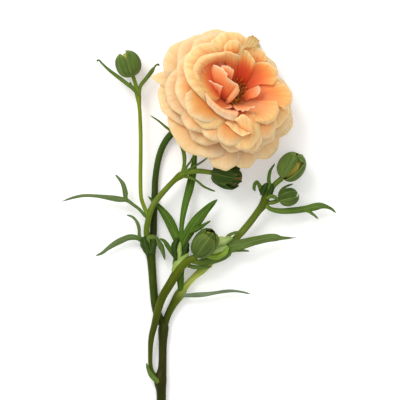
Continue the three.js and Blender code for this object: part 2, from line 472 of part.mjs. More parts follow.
// ---------------------------------------------------------------- bloom
const STEM_TOP = -2.6;            // heights along the bloom's axis, from BLOOM_CENTRE
const CALYX_BOTTOM = STEM_TOP + GAP;
const CALYX_TOP = -0.85;
const RECEPTACLE_BOTTOM = CALYX_TOP + GAP;

// Spherical coordinates count from +Y, so the axes are passed on by one place.
const spherical = new THREE.Vector3().setFromSphericalCoords(
  1, radians(BLOOM_TILT), radians(90 - BLOOM_HEADING));
const bloomAxis = new THREE.Vector3(spherical.z, spherical.x, spherical.y);
const bloomFrame = new THREE.Matrix4().makeRotationFromQuaternion(
  new THREE.Quaternion().setFromUnitVectors(new THREE.Vector3(0, 0, 1), bloomAxis));
bloomFrame.setPosition(...BLOOM_CENTRE);

function onBloom(x, y, height) {
  return new THREE.Vector3(x, y, height).applyMatrix4(bloomFrame);
}

// A draw from 0 to 1 that is the same each time for one petal and one use.
function draw(petal, use) {
  const x = Math.sin(petal * 12.9898 + use * 78.233) * 43758.5453;
  return x - Math.floor(x);
}

function spread(petal, use, amount) {
  return (2 * draw(petal, use) - 1) * amount;
}

// A flat petal: a fan, and how far each of its points stands off its plane.
function flatPetal(p, u, v) {
  const fan = v * radians(PETAL_FAN);
  const outline = 1 - 0.12 * v ** 2 - 0.30 * v ** 8 - p.point * Math.abs(v);
  const reach = u * p.length * outline;
  const edge = THREE.MathUtils.clamp((u - PETAL_RIM) / (1 - PETAL_RIM), 0, 1);
  const ripple = 2 * Math.PI * p.ripples * v + p.phase;
  return {
    forward: reach * Math.cos(fan),
    aside: reach * Math.sin(fan) * p.width + v * PETAL_CLAW * (1 - u),
    off: p.tuck * v * Math.sqrt(u) + p.cup * v ** 2 * u + p.fold * Math.abs(v) * u
      - p.curl * edge ** 2 * (1 + 0.6 * v ** 2) + p.wave * u ** 3 * Math.sin(ripple),
  };
}

const PLAIN_PETAL = {
  point: 0, fold: 0, tuck: 0, cup: 0, curl: 1, wave: 0, ripples: 1, phase: 0, tightest: 7,
};

// A petal that is rolled onto a bowl round the bloom's axis, from one slope to another.
function bowlPetal(values) {
  const p = { ...PLAIN_PETAL, ...values };
  const from = radians(p.from);
  const bend = (from - radians(p.to)) / p.length;
  return (u, v) => {
    const { forward, aside, off } = flatPetal(p, u, v);
    const slope = from - bend * forward;
    const radius = p.root + (Math.sin(from) - Math.sin(slope)) / bend;
    const height = p.rise + (Math.cos(slope) - Math.cos(from)) / bend;
    const turn = radians(p.azimuth) + aside / Math.max(radius, p.tightest);
    const r = radius - Math.sin(slope) * off;
    return onBloom(r * Math.cos(turn), r * Math.sin(turn), height + Math.cos(slope) * off);
  };
}

// A petal through rows of points, with a root below its base.
function placedPetal(rows) {
  const moved = (row, distance) => row.map((point) => (
    new THREE.Vector3(...point).addScaledVector(bloomAxis, distance).toArray()));
  const [base] = rows;
  const knots = [moved(base, -ROOT_DEPTH), ...rows.map((row) => moved(row, FACET_LIFT))];
  const surface = (u, v) => {
    const [down, side] = [u * (knots.length - 1), ((v + 1) / 2) * (base.length - 1)];
    const i = Math.min(Math.floor(down), knots.length - 2);
    const j = Math.min(Math.floor(side), base.length - 2);
    const across = (row) => new THREE.Vector3(...row[j]).lerp(new THREE.Vector3(...row[j + 1]), side - j);
    return across(knots[i]).lerp(across(knots[i + 1]), down - i);
  };
  return sheet(surface, knots.length - 1, base.length - 1, PETAL_THICKNESS);
}

function reachAt(azimuth) {
  const turn = THREE.MathUtils.euclideanModulo(azimuth, 360);
  const i = OUTLINE.findIndex(([upTo]) => turn <= upTo);
  const [[a, low], [b, high]] = [OUTLINE[Math.max(i - 1, 0)], OUTLINE[Math.max(i, 1)]];
  return THREE.MathUtils.mapLinear(turn, a, b, low, high);
}

// The values of petal n: those of its ring, its own, and small draws.
function petalOf(ring, i, n) {
  const own = ring.placed ? ring.placed[i] : {};
  const azimuth = own.azimuth ?? ring.first + (360 / ring.count) * i + spread(n, 1, 6);
  const side = Math.cos(radians(azimuth - OPEN_SIDE));
  const lean = BLOOM_OPENING * Math.max(side, -0.1) * (0.4 + ring.rise / 4);
  const narrow = 1 - DOWNWARD_NARROWING * Math.max(-Math.sin(radians(azimuth)), 0);
  const reach = own.reach ?? reachAt(azimuth) + spread(n, 5, 0.07);
  return {
    tuck: 1.8,
    width: ring.width * (1 + spread(n, 6, 0.08)) * narrow,
    cup: -1.4 + spread(n, 7, 0.4),
    curl: ring.curl * (1 + spread(n, 8, 0.5)),
    wave: 0.6 * (0.5 + draw(n, 9)),
    ripples: 0.8 + 0.6 * draw(n, 10),
    phase: 2 * Math.PI * draw(n, 11),
    ...own,
    azimuth,
    root: ring.root,
    rise: ring.rise + spread(n, 2, 0.25),
    from: (own.from ?? ring.from) - lean * 0.6 + spread(n, 3, 1.5),
    to: (own.to ?? ring.to) - lean + spread(n, 4, 4),
    length: ring.length * (reach - OPEN_SIDE_SHORTENING * side) * FACET_REACH,
    free: ring.free,
  };
}

function ringPetals() {
  const petals = [];
  RINGS.forEach((ring) => {
    for (let i = 0; i < (ring.placed?.length ?? ring.count); i++) {
      petals.push(petalOf(ring, i, petals.length + 1));
    }
  });
  return petals;
}

function lathe(points, sides = 20) {
  const profile = points.map(([r, h]) => new THREE.Vector2(r, h));
  const geometry = new THREE.LatheGeometry(profile, sides).rotateX(Math.PI / 2);
  return geometry.applyMatrix4(bloomFrame);
}

function bloomPetals() {
  const core = solidOf(lathe([[0, RECEPTACLE_BOTTOM], [4.6, RECEPTACLE_BOTTOM], [19, 3.8],
    [19.5, 8.2], [18.4, 12.6], [15.2, 15.6], [13.4, 15.2], [10.6, 11.6], [7.6, EYE_FLOOR],
    [0, EYE_FLOOR]], 16));
  const blades = ringPetals().map((p) => (p.free
    ? sheet(shownPetal(bowlPetal(p)), 2, 4, PETAL_THICKNESS)
    : sheet(tuckedPetal(bowlPetal(p)), 2, 3, PETAL_THICKNESS)));
  [...CUP, ...HEART].forEach((rows) => blades.push(placedPetal(rows)));
  const room = solidOf(lathe([[0, EYE_FLOOR], [EYE_RADIUS + GAP, EYE_FLOOR],
    [EYE_RADIUS + GAP, EYE_FLOOR + EYE_HEIGHT], [0, EYE_FLOOR + EYE_HEIGHT]], 12));
  return largest(joined([core, ...blades]).subtract(room).intersect(aboveFloor));
}

function bloomSepals(clear) {
  const disc = solidOf(lathe([[0, CALYX_BOTTOM], [3.4, CALYX_BOTTOM], [4.0, -1.5],
    [3.4, CALYX_TOP], [0, CALYX_TOP]], 10));
  const blades = [];
  for (let i = 0; i < SEPALS.count; i++) {
    const azimuth = SEPALS.first + (360 / SEPALS.count) * i;
    blades.push(sheet(bowlPetal({ ...SEPALS, azimuth }), 3, 2, LEAF_THICKNESS));
  }
  return joined([disc, ...blades]).subtract(clear).intersect(aboveFloor);
}

function bloomStamens() {
  const seat = EYE_FLOOR + GAP;
  const inner = 3.2;
  const ring = solidOf(lathe([[inner, seat], [EYE_RADIUS - 0.2, seat], [EYE_RADIUS - 0.3, seat + 1],
    [inner, seat + 1.1], [inner, seat]], 12));
  const rows = [{ count: 9, radius: 3.75, lean: 2 }, { count: 13, radius: 4.4, lean: 7 }];
  const stamens = rows.flatMap(({ count, radius, lean }) => Array.from({ length: count }, (_, i) => {
    const geometry = new THREE.CylinderGeometry(0.46, 0.34, 3.9, 3);
    geometry.rotateX(Math.PI / 2).rotateY(radians(lean)).translate(radius, 0, seat + 2.3);
    geometry.rotateZ((2 * Math.PI * (i + spread(i, count, 0.2))) / count);
    return solidOf(geometry.applyMatrix4(bloomFrame));
  }));
  return joined([ring, ...stamens]);
}

function bloomCarpels() {
  const seat = EYE_FLOOR + GAP;
  const dome = solidOf(lathe([[0, seat], [2.5, seat], [2.6, seat + 1.2], [2.0, seat + 2.6],
    [1.1, seat + 3.3], [0, seat + 3.5]], 9));
  const golden = Math.PI * (3 - Math.sqrt(5));
  const seeds = Array.from({ length: 14 }, (_, i) => {
    const slope = radians(8 + 72 * Math.sqrt(i / 13));
    const turn = golden * i;
    const geometry = new THREE.OctahedronGeometry(0.6).translate(
      2.1 * Math.sin(slope) * Math.cos(turn), 2.1 * Math.sin(slope) * Math.sin(turn),
      seat + 0.9 + 2.5 * Math.cos(slope));
    return solidOf(geometry.applyMatrix4(bloomFrame));
  });
  return joined([dome, ...seeds]);
}

// ---------------------------------------------------------------- buds
function budFrame({ at, tip, turn }) {
  const frame = new THREE.Matrix4().makeRotationFromQuaternion(
    new THREE.Quaternion().setFromUnitVectors(
      new THREE.Vector3(0, 0, 1), new THREE.Vector3(...tip).normalize()));
  frame.multiply(new THREE.Matrix4().makeRotationZ(radians(turn)));
  return frame.setPosition(...at);
}

function budRoomSolid(bud) {
  const geometry = new THREE.SphereGeometry(1, 10, 6).rotateX(Math.PI / 2);
  const off = GAP + 0.3;
  geometry.scale(bud.radius + off, bud.radius + off, bud.half + off);
  return solidOf(geometry.applyMatrix4(budFrame(bud)));
}

// How far round its own lobe a direction lies, -1 to 1, where count lobes share the circle.
function lobe(turn, count) {
  const share = (turn / (2 * Math.PI)) * count;
  return 2 * (share - Math.floor(share)) - 1;
}

// A sphere whose rows run from its base: rows up to the rim, then back down inside.
function budShape(bud, segments, rows, place) {
  const geometry = new THREE.SphereGeometry(1, segments, rows).rotateX(-Math.PI / 2);
  const position = geometry.attributes.position;
  for (let i = 0; i < position.count; i++) {
    const [x, y, z] = [position.getX(i), position.getY(i), position.getZ(i)];
    const turn = (Math.atan2(y, x) + 2 * Math.PI + 1e-6) % (2 * Math.PI);
    const row = Math.round((Math.acos(THREE.MathUtils.clamp(-z, -1, 1)) / Math.PI) * rows);
    const [radius, height] = place(turn, row);
    position.setXYZ(i, radius * Math.cos(turn), radius * Math.sin(turn), height);
  }
  return solidOf(geometry.applyMatrix4(budFrame(bud)));
}

// Sepals grown together at the base, each edge lying over the next, with free pointed tips.
function budSepals(bud, clear) {
  const rim = 5;
  const solid = budShape(bud, BUD_SEPALS * 4, 2 * rim - 1, (turn, row) => {
    const v = lobe(turn, BUD_SEPALS);
    const outside = row < rim;
    const share = outside ? row / (rim - 1) : (2 * rim - 1 - row) / (rim - 1);
    const reach = 0.68 + 0.2 * (1 - Math.abs(v) ** 1.5);
    const polar = Math.PI * reach * share;
    const step = BUD_SEPAL_TUCK * v * Math.sin(polar);
    const flare = 0.5 * share ** 4;
    const off = (outside ? 0 : -BUD_SEPAL_THICKNESS) + step + flare;
    return [(bud.radius + off) * Math.sin(polar), -(bud.half + off) * Math.cos(polar)];
  });
  return largest(solid.subtract(clear));
}

// The closed petals inside, each wrapped over the next.
function budPetals(bud) {
  return budShape(bud, BUD_PETALS * 4, 7, (turn, row) => {
    const v = lobe(turn, BUD_PETALS);
    const polar = (Math.PI * row) / 7;
    const step = 0.3 * v * Math.sin(polar);
    return [(bud.radius - BUD_SHELL + step) * Math.sin(polar),
      -(bud.half - BUD_SHELL + step) * Math.cos(polar)];
  });
}

// ---------------------------------------------------------------- leaves
function leafSurface(rows) {
  const curve = spine(rows);
  const up = new THREE.Vector3(0, 0, 1);
  return (u, v) => {
    const tangent = curve.getTangent(u);
    const aside = new THREE.Vector3().crossVectors(up, tangent).normalize();
    const raised = new THREE.Vector3().crossVectors(tangent, aside);
    const width = along(rows, u);
    return curve.getPoint(u).addScaledVector(aside, -v * width / 2)
      .addScaledVector(raised, -LEAF_ARCH * width * v ** 2);
  };
}

// A broad blade is arched over its rib, and a narrow one is flat across.
function leafSolid(blades, clear) {
  const sheets = blades.map((rows) => {
    const broad = Math.max(...rows.map((row) => row[3])) > NARROW_LEAF;
    return sheet(leafSurface(rows), rows.length, broad ? 2 : 1, LEAF_THICKNESS);
  });
  return largest(joined(sheets).subtract(clear).intersect(aboveFloor));
}

// ---------------------------------------------------------------- assembly
const group = new THREE.Group();

function add(name, solid, colour, roughness) {
  const material = new THREE.MeshStandardMaterial({ color: colour, roughness, metalness: 0 });
  const mesh = new THREE.Mesh(geometryOf(solid), material);
  mesh.name = name;
  group.add(mesh);
}

const stemRoom = stemSolid(GAP);
const budRoom = joined(Object.values(BUDS).map(budRoomSolid));
const leafRoom = stemRoom.add(budRoom);

add('stem', stemSolid().intersect(aboveFloor), COLOURS.stem, 0.5);
add('bloom_petals', bloomPetals(), COLOURS.petal, 0.55);
add('bloom_sepals', bloomSepals(stemRoom), COLOURS.calyx, 0.6);
add('bloom_stamens', bloomStamens(), COLOURS.stamen, 0.7);
add('bloom_carpels', bloomCarpels(), COLOURS.carpel, 0.6);
Object.entries(BUDS).forEach(([place, bud]) => {
  add(`bud_${place}_sepals`, budSepals(bud, stemRoom), COLOURS.budSepal, 0.6);
  add(`bud_${place}_petals`, budPetals(bud), COLOURS.budPetal, 0.55);
});
Object.entries(LEAVES).forEach(([name, blades]) => {
  add(name, leafSolid(blades, leafRoom), COLOURS.leaf, 0.6);
});

// The origin is under the middle of the whole plant, on the plane it lies on.
const box = new THREE.Box3().setFromObject(group);
const middle = box.getCenter(new THREE.Vector3());
group.position.set(-middle.x, -middle.y, -box.min.z);

export default group;
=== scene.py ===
# %% [markdown]
# # A cut ranunculus, laid down
#
# The object is one flower: an open double bloom, five closed buds, and the leaves of a branched
# stem that lies on a table. Its solids are already made, and this lesson dresses each of them.
# Petals, leaves and sepals are thin curved sheets, stems are tapered tubes, and the small parts of
# the bloom's eye are turned shapes and rods. All of them come from a few mesh functions, so that a
# shape can be changed by its named values alone.

# %% Load the solids that fix every place
import math
import bpy
import numpy as np
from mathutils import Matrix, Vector


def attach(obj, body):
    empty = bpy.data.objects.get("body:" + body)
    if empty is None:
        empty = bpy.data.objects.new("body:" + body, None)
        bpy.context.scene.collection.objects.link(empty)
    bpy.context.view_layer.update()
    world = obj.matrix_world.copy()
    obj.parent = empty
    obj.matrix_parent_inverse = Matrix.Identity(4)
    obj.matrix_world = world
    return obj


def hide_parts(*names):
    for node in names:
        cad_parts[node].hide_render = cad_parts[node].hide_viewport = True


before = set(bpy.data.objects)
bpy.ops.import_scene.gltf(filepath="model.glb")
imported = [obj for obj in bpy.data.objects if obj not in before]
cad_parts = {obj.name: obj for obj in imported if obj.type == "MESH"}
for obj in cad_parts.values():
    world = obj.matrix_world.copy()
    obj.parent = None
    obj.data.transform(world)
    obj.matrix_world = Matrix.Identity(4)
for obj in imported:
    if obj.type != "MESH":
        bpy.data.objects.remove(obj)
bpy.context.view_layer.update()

# %% [markdown]
# ## One set of lengths for everything
#
# Blender works in metres, and a flower is easier to describe in millimetres. All shapes here are
# written in millimetres in the plant's own drawing, whose origin is off the middle of the plant.
# The cut end of the stem has a known place in that drawing, so the cut end of the solid stem says
# how far the drawing has to move.

# %% Find the drawing's place from the cut end of the stem
MM = 0.001
STEM_CUT_AT = (-19.0, -97.5)
CUT_FACE_DEPTH = 0.05             # mm; corners this close to the end belong to the cut face


def corners(node_name):
    """All corners of a solid, in millimetres."""
    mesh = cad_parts[node_name].data
    flat = np.empty(len(mesh.vertices) * 3)
    mesh.vertices.foreach_get("co", flat)
    return flat.reshape(-1, 3) / MM


stem_corners = corners("stem")
cut_y = stem_corners[:, 1].min()
cut_x = stem_corners[stem_corners[:, 1] < cut_y + CUT_FACE_DEPTH][:, 0]
SHIFT = np.array([(cut_x.min() + cut_x.max()) / 2 - STEM_CUT_AT[0], cut_y - STEM_CUT_AT[1], 0.0])
print("drawing moved by", SHIFT.round(3), "mm")

# %% [markdown]
# ## Closed shells: sheets
#
# Every shape is a *shell*: points, faces, a place on the surface for each point (its UV), and one
# number called tone, which lets a material make one petal paler than the next. A sheet is a grid of
# points with a thickness, closed by a rim all round. A closed shell casts a right shadow and lets
# light scatter inside it, as living tissue does.

# %% A function for sheets
def unit(vectors):
    """The same directions, each one long."""
    return vectors / (np.linalg.norm(vectors, axis=-1, keepdims=True) + 1e-9)


def sheet(points, thickness, tone=0.5):
    """A closed shell from a grid of points; thickness may differ from point to point."""
    rows, columns = points.shape[:2]
    along = np.gradient(points, axis=0)
    across = np.gradient(points, axis=1)
    half = unit(np.cross(across, along)) * (np.ones((rows, columns)) * thickness / 2)[..., None]
    u, v = np.meshgrid(np.linspace(0, 1, rows), np.linspace(0, 1, columns), indexing="ij")
    uv = np.stack([v, u], -1).reshape(-1, 2)
    i = np.arange(rows * columns).reshape(rows, columns)
    upper = np.stack([i[:-1, :-1], i[:-1, 1:], i[1:, 1:], i[1:, :-1]], -1).reshape(-1, 4)
    lower = upper[:, ::-1] + i.size
    rim = np.concatenate([i[0, :-1], i[:-1, -1], i[-1, :0:-1], i[:0:-1, 0]])
    after = np.roll(rim, -1)
    side = np.stack([after, rim, rim + i.size, after + i.size], -1)
    return {
        "points": np.concatenate([(points + half).reshape(-1, 3), (points - half).reshape(-1, 3)]),
        "faces": np.concatenate([upper, lower, side]).tolist(),
        "uv": np.concatenate([uv, uv]),
        "tone": tone,
    }


flat_sheet = sheet(np.stack(np.meshgrid([0.0, 1.0], [0.0, 1.0], [0.0]), -1)[:, :, 0], 0.1)
print("the smallest sheet has", len(flat_sheet["faces"]), "faces, so it is a box")

# %% [markdown]
# ## Closed shells: rings and balls
#
# Stems, buds and stamens are round, so their shells are rows of rings, with a point in the middle
# of each end. All faces have to look outwards, or light would treat the inside as the outside: the
# sign of the shell's volume says which way they look. A ball's rings run from one pole of a small
# egg to the other.

# %% Functions for rings
UP = np.array([0.0, 0.0, 1.0])


def facing_out(shell):
    """Turns all faces round if the shell is inside out."""
    p = shell["points"]
    volume = sum(np.dot(p[f[0]], np.cross(p[f[k]], p[f[k + 1]]))
                 for f in shell["faces"] for k in range(1, len(f) - 1))
    if volume < 0:
        shell["faces"] = [tuple(reversed(f)) for f in shell["faces"]]
    return shell


def rings(points, tone=0.5):
    """A closed shell from rings of points, (rings, sides, 3), with a point in the middle of each end."""
    count, sides = points.shape[:2]
    ends = [points[0].mean(0), points[-1].mean(0)]
    u, v = np.meshgrid(np.linspace(0, 1, count), np.arange(sides) / sides, indexing="ij")
    i = np.arange(count * sides).reshape(count, sides)
    j = np.roll(i, -1, axis=1)
    faces = np.stack([i[:-1], j[:-1], j[1:], i[1:]], -1).reshape(-1, 4).tolist()
    faces += [(i.size, b, a) for a, b in zip(i[0], j[0])]
    faces += [(i.size + 1, a, b) for a, b in zip(i[-1], j[-1])]
    return facing_out({
        "points": np.concatenate([points.reshape(-1, 3), ends]),
        "faces": faces,
        "uv": np.concatenate([np.stack([v, u], -1).reshape(-1, 2), [[0.5, 0], [0.5, 1]]]),
        "tone": tone,
    })


square_rod = rings(np.array([[[x, y, z] for x, y in ((0, 0), (1, 0), (1, 1), (0, 1))] for z in (0, 5)],
                            float))
print("a square rod has", len(square_rod["faces"]), "faces with those of its ends")

# %% A function for balls
def ball(centre, axis, width, length, sides, bands, tone):
    """A small egg shape on an axis."""
    axis = unit(np.array(axis, float))
    side = unit(np.cross(axis, UP + [0.3, 0.1, 0]))
    other = np.cross(axis, side)
    polar = np.linspace(0, np.pi, bands + 2)[1:-1]
    angle = np.arange(sides) * 2 * np.pi / sides
    out = side[None] * np.cos(angle)[:, None] + other[None] * np.sin(angle)[:, None]
    points = (np.array(centre) + axis * (np.cos(polar) * length / 2)[:, None, None]
              + out[None] * (np.sin(polar) * width / 2)[:, None, None])
    return rings(points, tone)


print("a small ball has", len(ball([0, 0, 0], [0, 0, 1], 1, 1, 6, 3, 0)["faces"]), "faces")

# %% [markdown]
# ## Closed shells: tubes
#
# A stem is easiest to set by a few points on its middle line, each with its radius. A smooth line
# fills in the rest, and its speed follows the distance between the points, so that it makes no loop
# where they are close. Leaves use the same line, with a width instead of a radius.

# %% Functions for smooth lines
LEAST_SIZE = 0.12                 # mm, so that no tip ends in a needle of no width


def knots_around(knots, steps):
    """For even steps along knots: the four knots around each, and its share of the middle stretch."""
    held = np.concatenate([[2 * knots[0] - knots[1]], knots, [2 * knots[-1] - knots[-2]]])
    place = np.linspace(0, len(knots) - 1, steps)
    i = np.minimum(place.astype(int), len(knots) - 2)
    share = (place - i).reshape([-1] + [1] * (knots.ndim - 1))
    return [held[i + k] for k in range(4)], share


def smooth_line(knots, steps):
    """Points and sizes on a smooth line through rows of (x, y, z, size)."""
    (a, b, c, d), share = knots_around(np.array(knots, float), steps)
    before, here, after = (
        np.linalg.norm((q - p)[:, :3], axis=1)[:, None] ** 0.5 for p, q in ((a, b), (b, c), (c, d)))
    leaving = here * ((b - a) / before - (c - a) / (before + here) + (c - b) / here)
    arriving = here * ((c - b) / here - (d - b) / (here + after) + (d - c) / after)
    line = (b + leaving * share + (3 * (c - b) - 2 * leaving - arriving) * share ** 2
            + (2 * (b - c) + leaving + arriving) * share ** 3)
    return line[:, :3], np.maximum(line[:, 3], LEAST_SIZE)


bent_line = smooth_line([[0, 0, 0, 1], [0, 5, 0, 1], [5, 5, 0, 1]], 9)[0]
print("a smooth line round a corner of 10 mm is",
      round(np.linalg.norm(np.diff(bent_line, axis=0), axis=1).sum(), 2), "mm long")

# %% Functions for tubes
TABLE_GAP = 0.02                  # mm between the table and what lies on it


def directions(line):
    """To a line's side, and up from it, at each of its points."""
    tangent = unit(np.gradient(line, axis=0))
    aside = unit(np.cross(UP, tangent))
    return aside, np.cross(tangent, aside)


def tube(knots, sides, steps_per_knot=6, grooves=0, groove_depth=0.0, tone=0.5):
    """A tapered tube through rows of (x, y, z, radius), pressed flat where it lies on the table."""
    line, radius = smooth_line(knots, (len(knots) - 1) * steps_per_knot + 1)
    aside, raised = directions(line)
    angle = np.arange(sides) * 2 * np.pi / sides
    size = radius[:, None] * (1 + groove_depth * np.cos(grooves * angle))[None]
    points = (line[:, None] + aside[:, None] * (size * np.cos(angle))[..., None]
              + raised[:, None] * (size * np.sin(angle))[..., None])
    points[..., 2] = np.maximum(points[..., 2], TABLE_GAP)
    return rings(points, tone)


print("a tube with six sides has", len(tube([[0, 0, 1, 1], [9, 0, 1, 1]], 6)["faces"]), "faces")

# %% [markdown]
# ## From shells to a piece of the flower
#
# A piece joins many shells in one mesh, such as all petals of one ring. It rides on the solid plant,
# and stands for the solid node that it dresses, which it hides. The tone is kept on the mesh as an
# attribute, where a material can read it.

# %% A function that makes a piece
def piece(name, shells, material, node_name):
    """Joins shells in one mesh that stands for a solid node and rides with it."""
    mesh = bpy.data.meshes.new(name)
    points, faces, uvs, tones, start = [], [], [], [], 0
    for shell in shells:
        points.append(shell["points"])
        uvs.append(shell["uv"])
        tones.append(np.ones(len(shell["points"])) * shell["tone"])
        faces += [tuple(int(corner) + start for corner in face) for face in shell["faces"]]
        start += len(shell["points"])
    places = (np.concatenate(points) + SHIFT) * MM
    mesh.from_pydata(places.tolist(), [], faces)
    corner_of = np.empty(len(mesh.loops), int)
    mesh.loops.foreach_get("vertex_index", corner_of)
    layer = mesh.uv_layers.new(name="Surface")
    layer.data.foreach_set("uv", np.concatenate(uvs)[corner_of].astype(np.float32).ravel())
    tone = mesh.attributes.new("tone", "FLOAT", "POINT")
    tone.data.foreach_set("value", np.concatenate(tones).astype(np.float32))
    mesh.shade_smooth()
    mesh.materials.append(material)
    made = bpy.data.objects.new(name, mesh)
    bpy.context.scene.collection.objects.link(made)
    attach(made, "root")
    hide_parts(node_name)
    low, high = places.min(0) / MM, places.max(0) / MM
    print(f"{name}: {len(shells)} shells, {sum(len(f) - 2 for f in faces)} triangles,",
          "from", low.round(1), "to", high.round(1), "mm")

# %% [markdown]
# ## Materials out of nodes
#
# A material is a small graph. One function adds a node: it sets the node's options, gives its inputs
# either a number, a colour or a link, and fills a colour ramp if one is asked for. Colours are
# written as sRGB hex values, as on a screen, and turned to the linear values that light uses.

# %% A function for colours
def linear(hex_colour):
    """A colour as light uses it, from its sRGB hex value."""
    parts = [int(hex_colour[i:i + 2], 16) / 255 for i in (1, 3, 5)]
    return tuple(p / 12.92 if p <= 0.04045 else ((p + 0.055) / 1.055) ** 2.4 for p in parts) + (1.0,)


print("petal base colour in linear light:", [round(c, 3) for c in linear("#F0B878")])

# %% Functions for nodes
def fill_inputs(tree, made, inputs):
    """Gives each named input of a node a link, or else a constant value."""
    for name, value in inputs.items():
        if isinstance(value, bpy.types.NodeSocket):
            tree.links.new(value, made.inputs[name])
        else:
            made.inputs[name].default_value = value


def node(tree, kind, inputs=None, stops=None, **options):
    """Adds a node with its options, its inputs and, on a colour ramp, its stops."""
    made = tree.nodes.new(kind)
    for option, value in options.items():
        setattr(made, option, value)
    fill_inputs(tree, made, inputs or {})
    if stops:
        elements = made.color_ramp.elements
        while len(elements) < len(stops):
            elements.new(0.5)
        for element, (place, colour) in zip(elements, stops):
            element.position = place
            element.color = linear(colour)
    return made


def new_material(name):
    """A material, its graph, and the surface's own places across and along, and its tone."""
    material = bpy.data.materials.new(name)
    material.use_nodes = True
    tree = material.node_tree
    place = node(tree, "ShaderNodeUVMap", uv_map="Surface")
    split = node(tree, "ShaderNodeSeparateXYZ", {"Vector": place.outputs["UV"]})
    tone = node(tree, "ShaderNodeAttribute", attribute_name="tone")
    surface = {"across": split.outputs["X"], "along": split.outputs["Y"], "tone": tone.outputs["Fac"]}
    return material, tree, surface


print("steps of a material: fill_inputs, node, new_material")

# %% [markdown]
# ## What petals and leaves have in common
#
# Both are thin plant tissue, a little see-through: light that enters comes out near by, which
# subsurface scattering gives. Both change colour from root to tip, differ a little from one to the
# next, and have veins that run along them. So they share three steps. A ramp along the surface is
# mixed with a second colour by the tone. A noise is stretched along the surface, so that it turns
# to streaks, and because the surface's own places fan out from the root, so do the streaks. At the
# end, the same noise raises the veins a little, and the shader gets its values.

# %% Functions that petal and leaf materials share
VEIN_RELIEF = 0.15                # mm from a vein's foot to its top


def toned_ramp(tree, surface, stops, second):
    """A colour ramp along the surface, mixed with a second colour by the tone."""
    ramp = node(tree, "ShaderNodeValToRGB", {"Fac": surface["along"]}, stops)
    mixed = node(tree, "ShaderNodeMix", {
        "Factor": surface["tone"], "A": ramp.outputs["Color"], "B": linear(second)},
        data_type="RGBA")
    return mixed.outputs["Result"]


def streaks(tree, surface, scales, detail, roughness):
    """A noise that is stretched by its scales across and along, and differs with the tone."""
    place = node(tree, "ShaderNodeCombineXYZ", {
        "X": surface["across"], "Y": surface["along"], "Z": surface["tone"]})
    scaled = node(tree, "ShaderNodeVectorMath", {0: place.outputs[0], 1: scales}, operation="MULTIPLY")
    noise = node(tree, "ShaderNodeTexNoise", {
        "Vector": scaled.outputs[0], "Scale": 1.0, "Detail": detail, "Roughness": roughness})
    return noise.outputs["Fac"]


def finish_tissue(tree, colour, veins, relief, values):
    """Links the colour and the raised veins to the shader, and sets its other values."""
    raised = node(tree, "ShaderNodeBump", {
        "Height": veins, "Strength": relief, "Distance": VEIN_RELIEF * MM})
    fill_inputs(tree, tree.nodes["Principled BSDF"], {
        "Base Color": colour, "Normal": raised.outputs["Normal"], "Subsurface Scale": MM, **values})


print("shared steps of a tissue: toned_ramp, streaks, finish_tissue")

# %% [markdown]
# ## The petals' tissue
#
# A ranunculus petal is thin and waxy, and light comes out of it warmer than it went in. Its colour
# runs from red-orange at the root through apricot to a cream rim, so a ramp along the petal is the
# natural way to paint it. On the outer petals the ramp's deep orange just short of the rim is partly
# their own colour and partly painted shade, where each petal comes out from under the ring inside
# it. Real veins are 0.3 to 0.5 mm apart, which is too fine to show from this distance, so they are
# drawn about 1.1 mm apart. There are four tissues: the cream outer petals, the redder ones of the
# cup, the coral ones at the heart, and one petal that has dried to straw.

# %% A function for petal tissue
PETAL_IOR = 1.42                  # plant cells are mostly water, with a wax skin
VEIN_SPACING = 1.1                # mm, coarser than the real 0.4 so that it shows
PETAL_SPAN = 33.0                 # mm across a petal's rim
STREAK_LENGTH = 9.0               # mm along the petal
PETAL_RUN = 28.0                  # mm from root to rim
PETALS_APART = 97.0               # noise lengths from one tone to the next
PETAL_SCATTER = (4.0, 1.5, 0.6)   # mm that red, green and blue light travel inside
VEIN_COLOUR = 0.34                # share of the streak colour in the darkest vein
RIM_COLOUR = 0.55                 # share of the rim colour at the very edge


def petal_tissue(name, stops, pale, streak, rim):
    material, tree, surface = new_material(name)
    base = toned_ramp(tree, surface, stops, pale)
    scales = (PETAL_SPAN / VEIN_SPACING, PETAL_RUN / STREAK_LENGTH, PETALS_APART)
    veins = streaks(tree, surface, scales, detail=2.0, roughness=0.5)
    shown = node(tree, "ShaderNodeMapRange", {
        "Value": veins, "From Min": 0.35, "From Max": 0.7, "To Min": 0.0, "To Max": VEIN_COLOUR})
    veined = node(tree, "ShaderNodeMix", {
        "Factor": shown.outputs["Result"], "A": base, "B": linear(streak)}, data_type="RGBA")
    near_rim = node(tree, "ShaderNodeMapRange", {
        "Value": surface["along"], "From Min": 0.955, "From Max": 0.995, "To Min": 0.0,
        "To Max": RIM_COLOUR})
    rimmed = node(tree, "ShaderNodeMix", {
        "Factor": near_rim.outputs["Result"], "A": veined.outputs["Result"], "B": linear(rim)},
        data_type="RGBA")
    finish_tissue(tree, rimmed.outputs["Result"], veins, 0.25, {
        "Roughness": 0.5, "IOR": PETAL_IOR, "Specular IOR Level": 0.3, "Sheen Weight": 0.05,
        "Subsurface Weight": 0.3, "Subsurface Radius": PETAL_SCATTER})
    return material


print("noise scale across a petal:", round(PETAL_SPAN / VEIN_SPACING, 1))
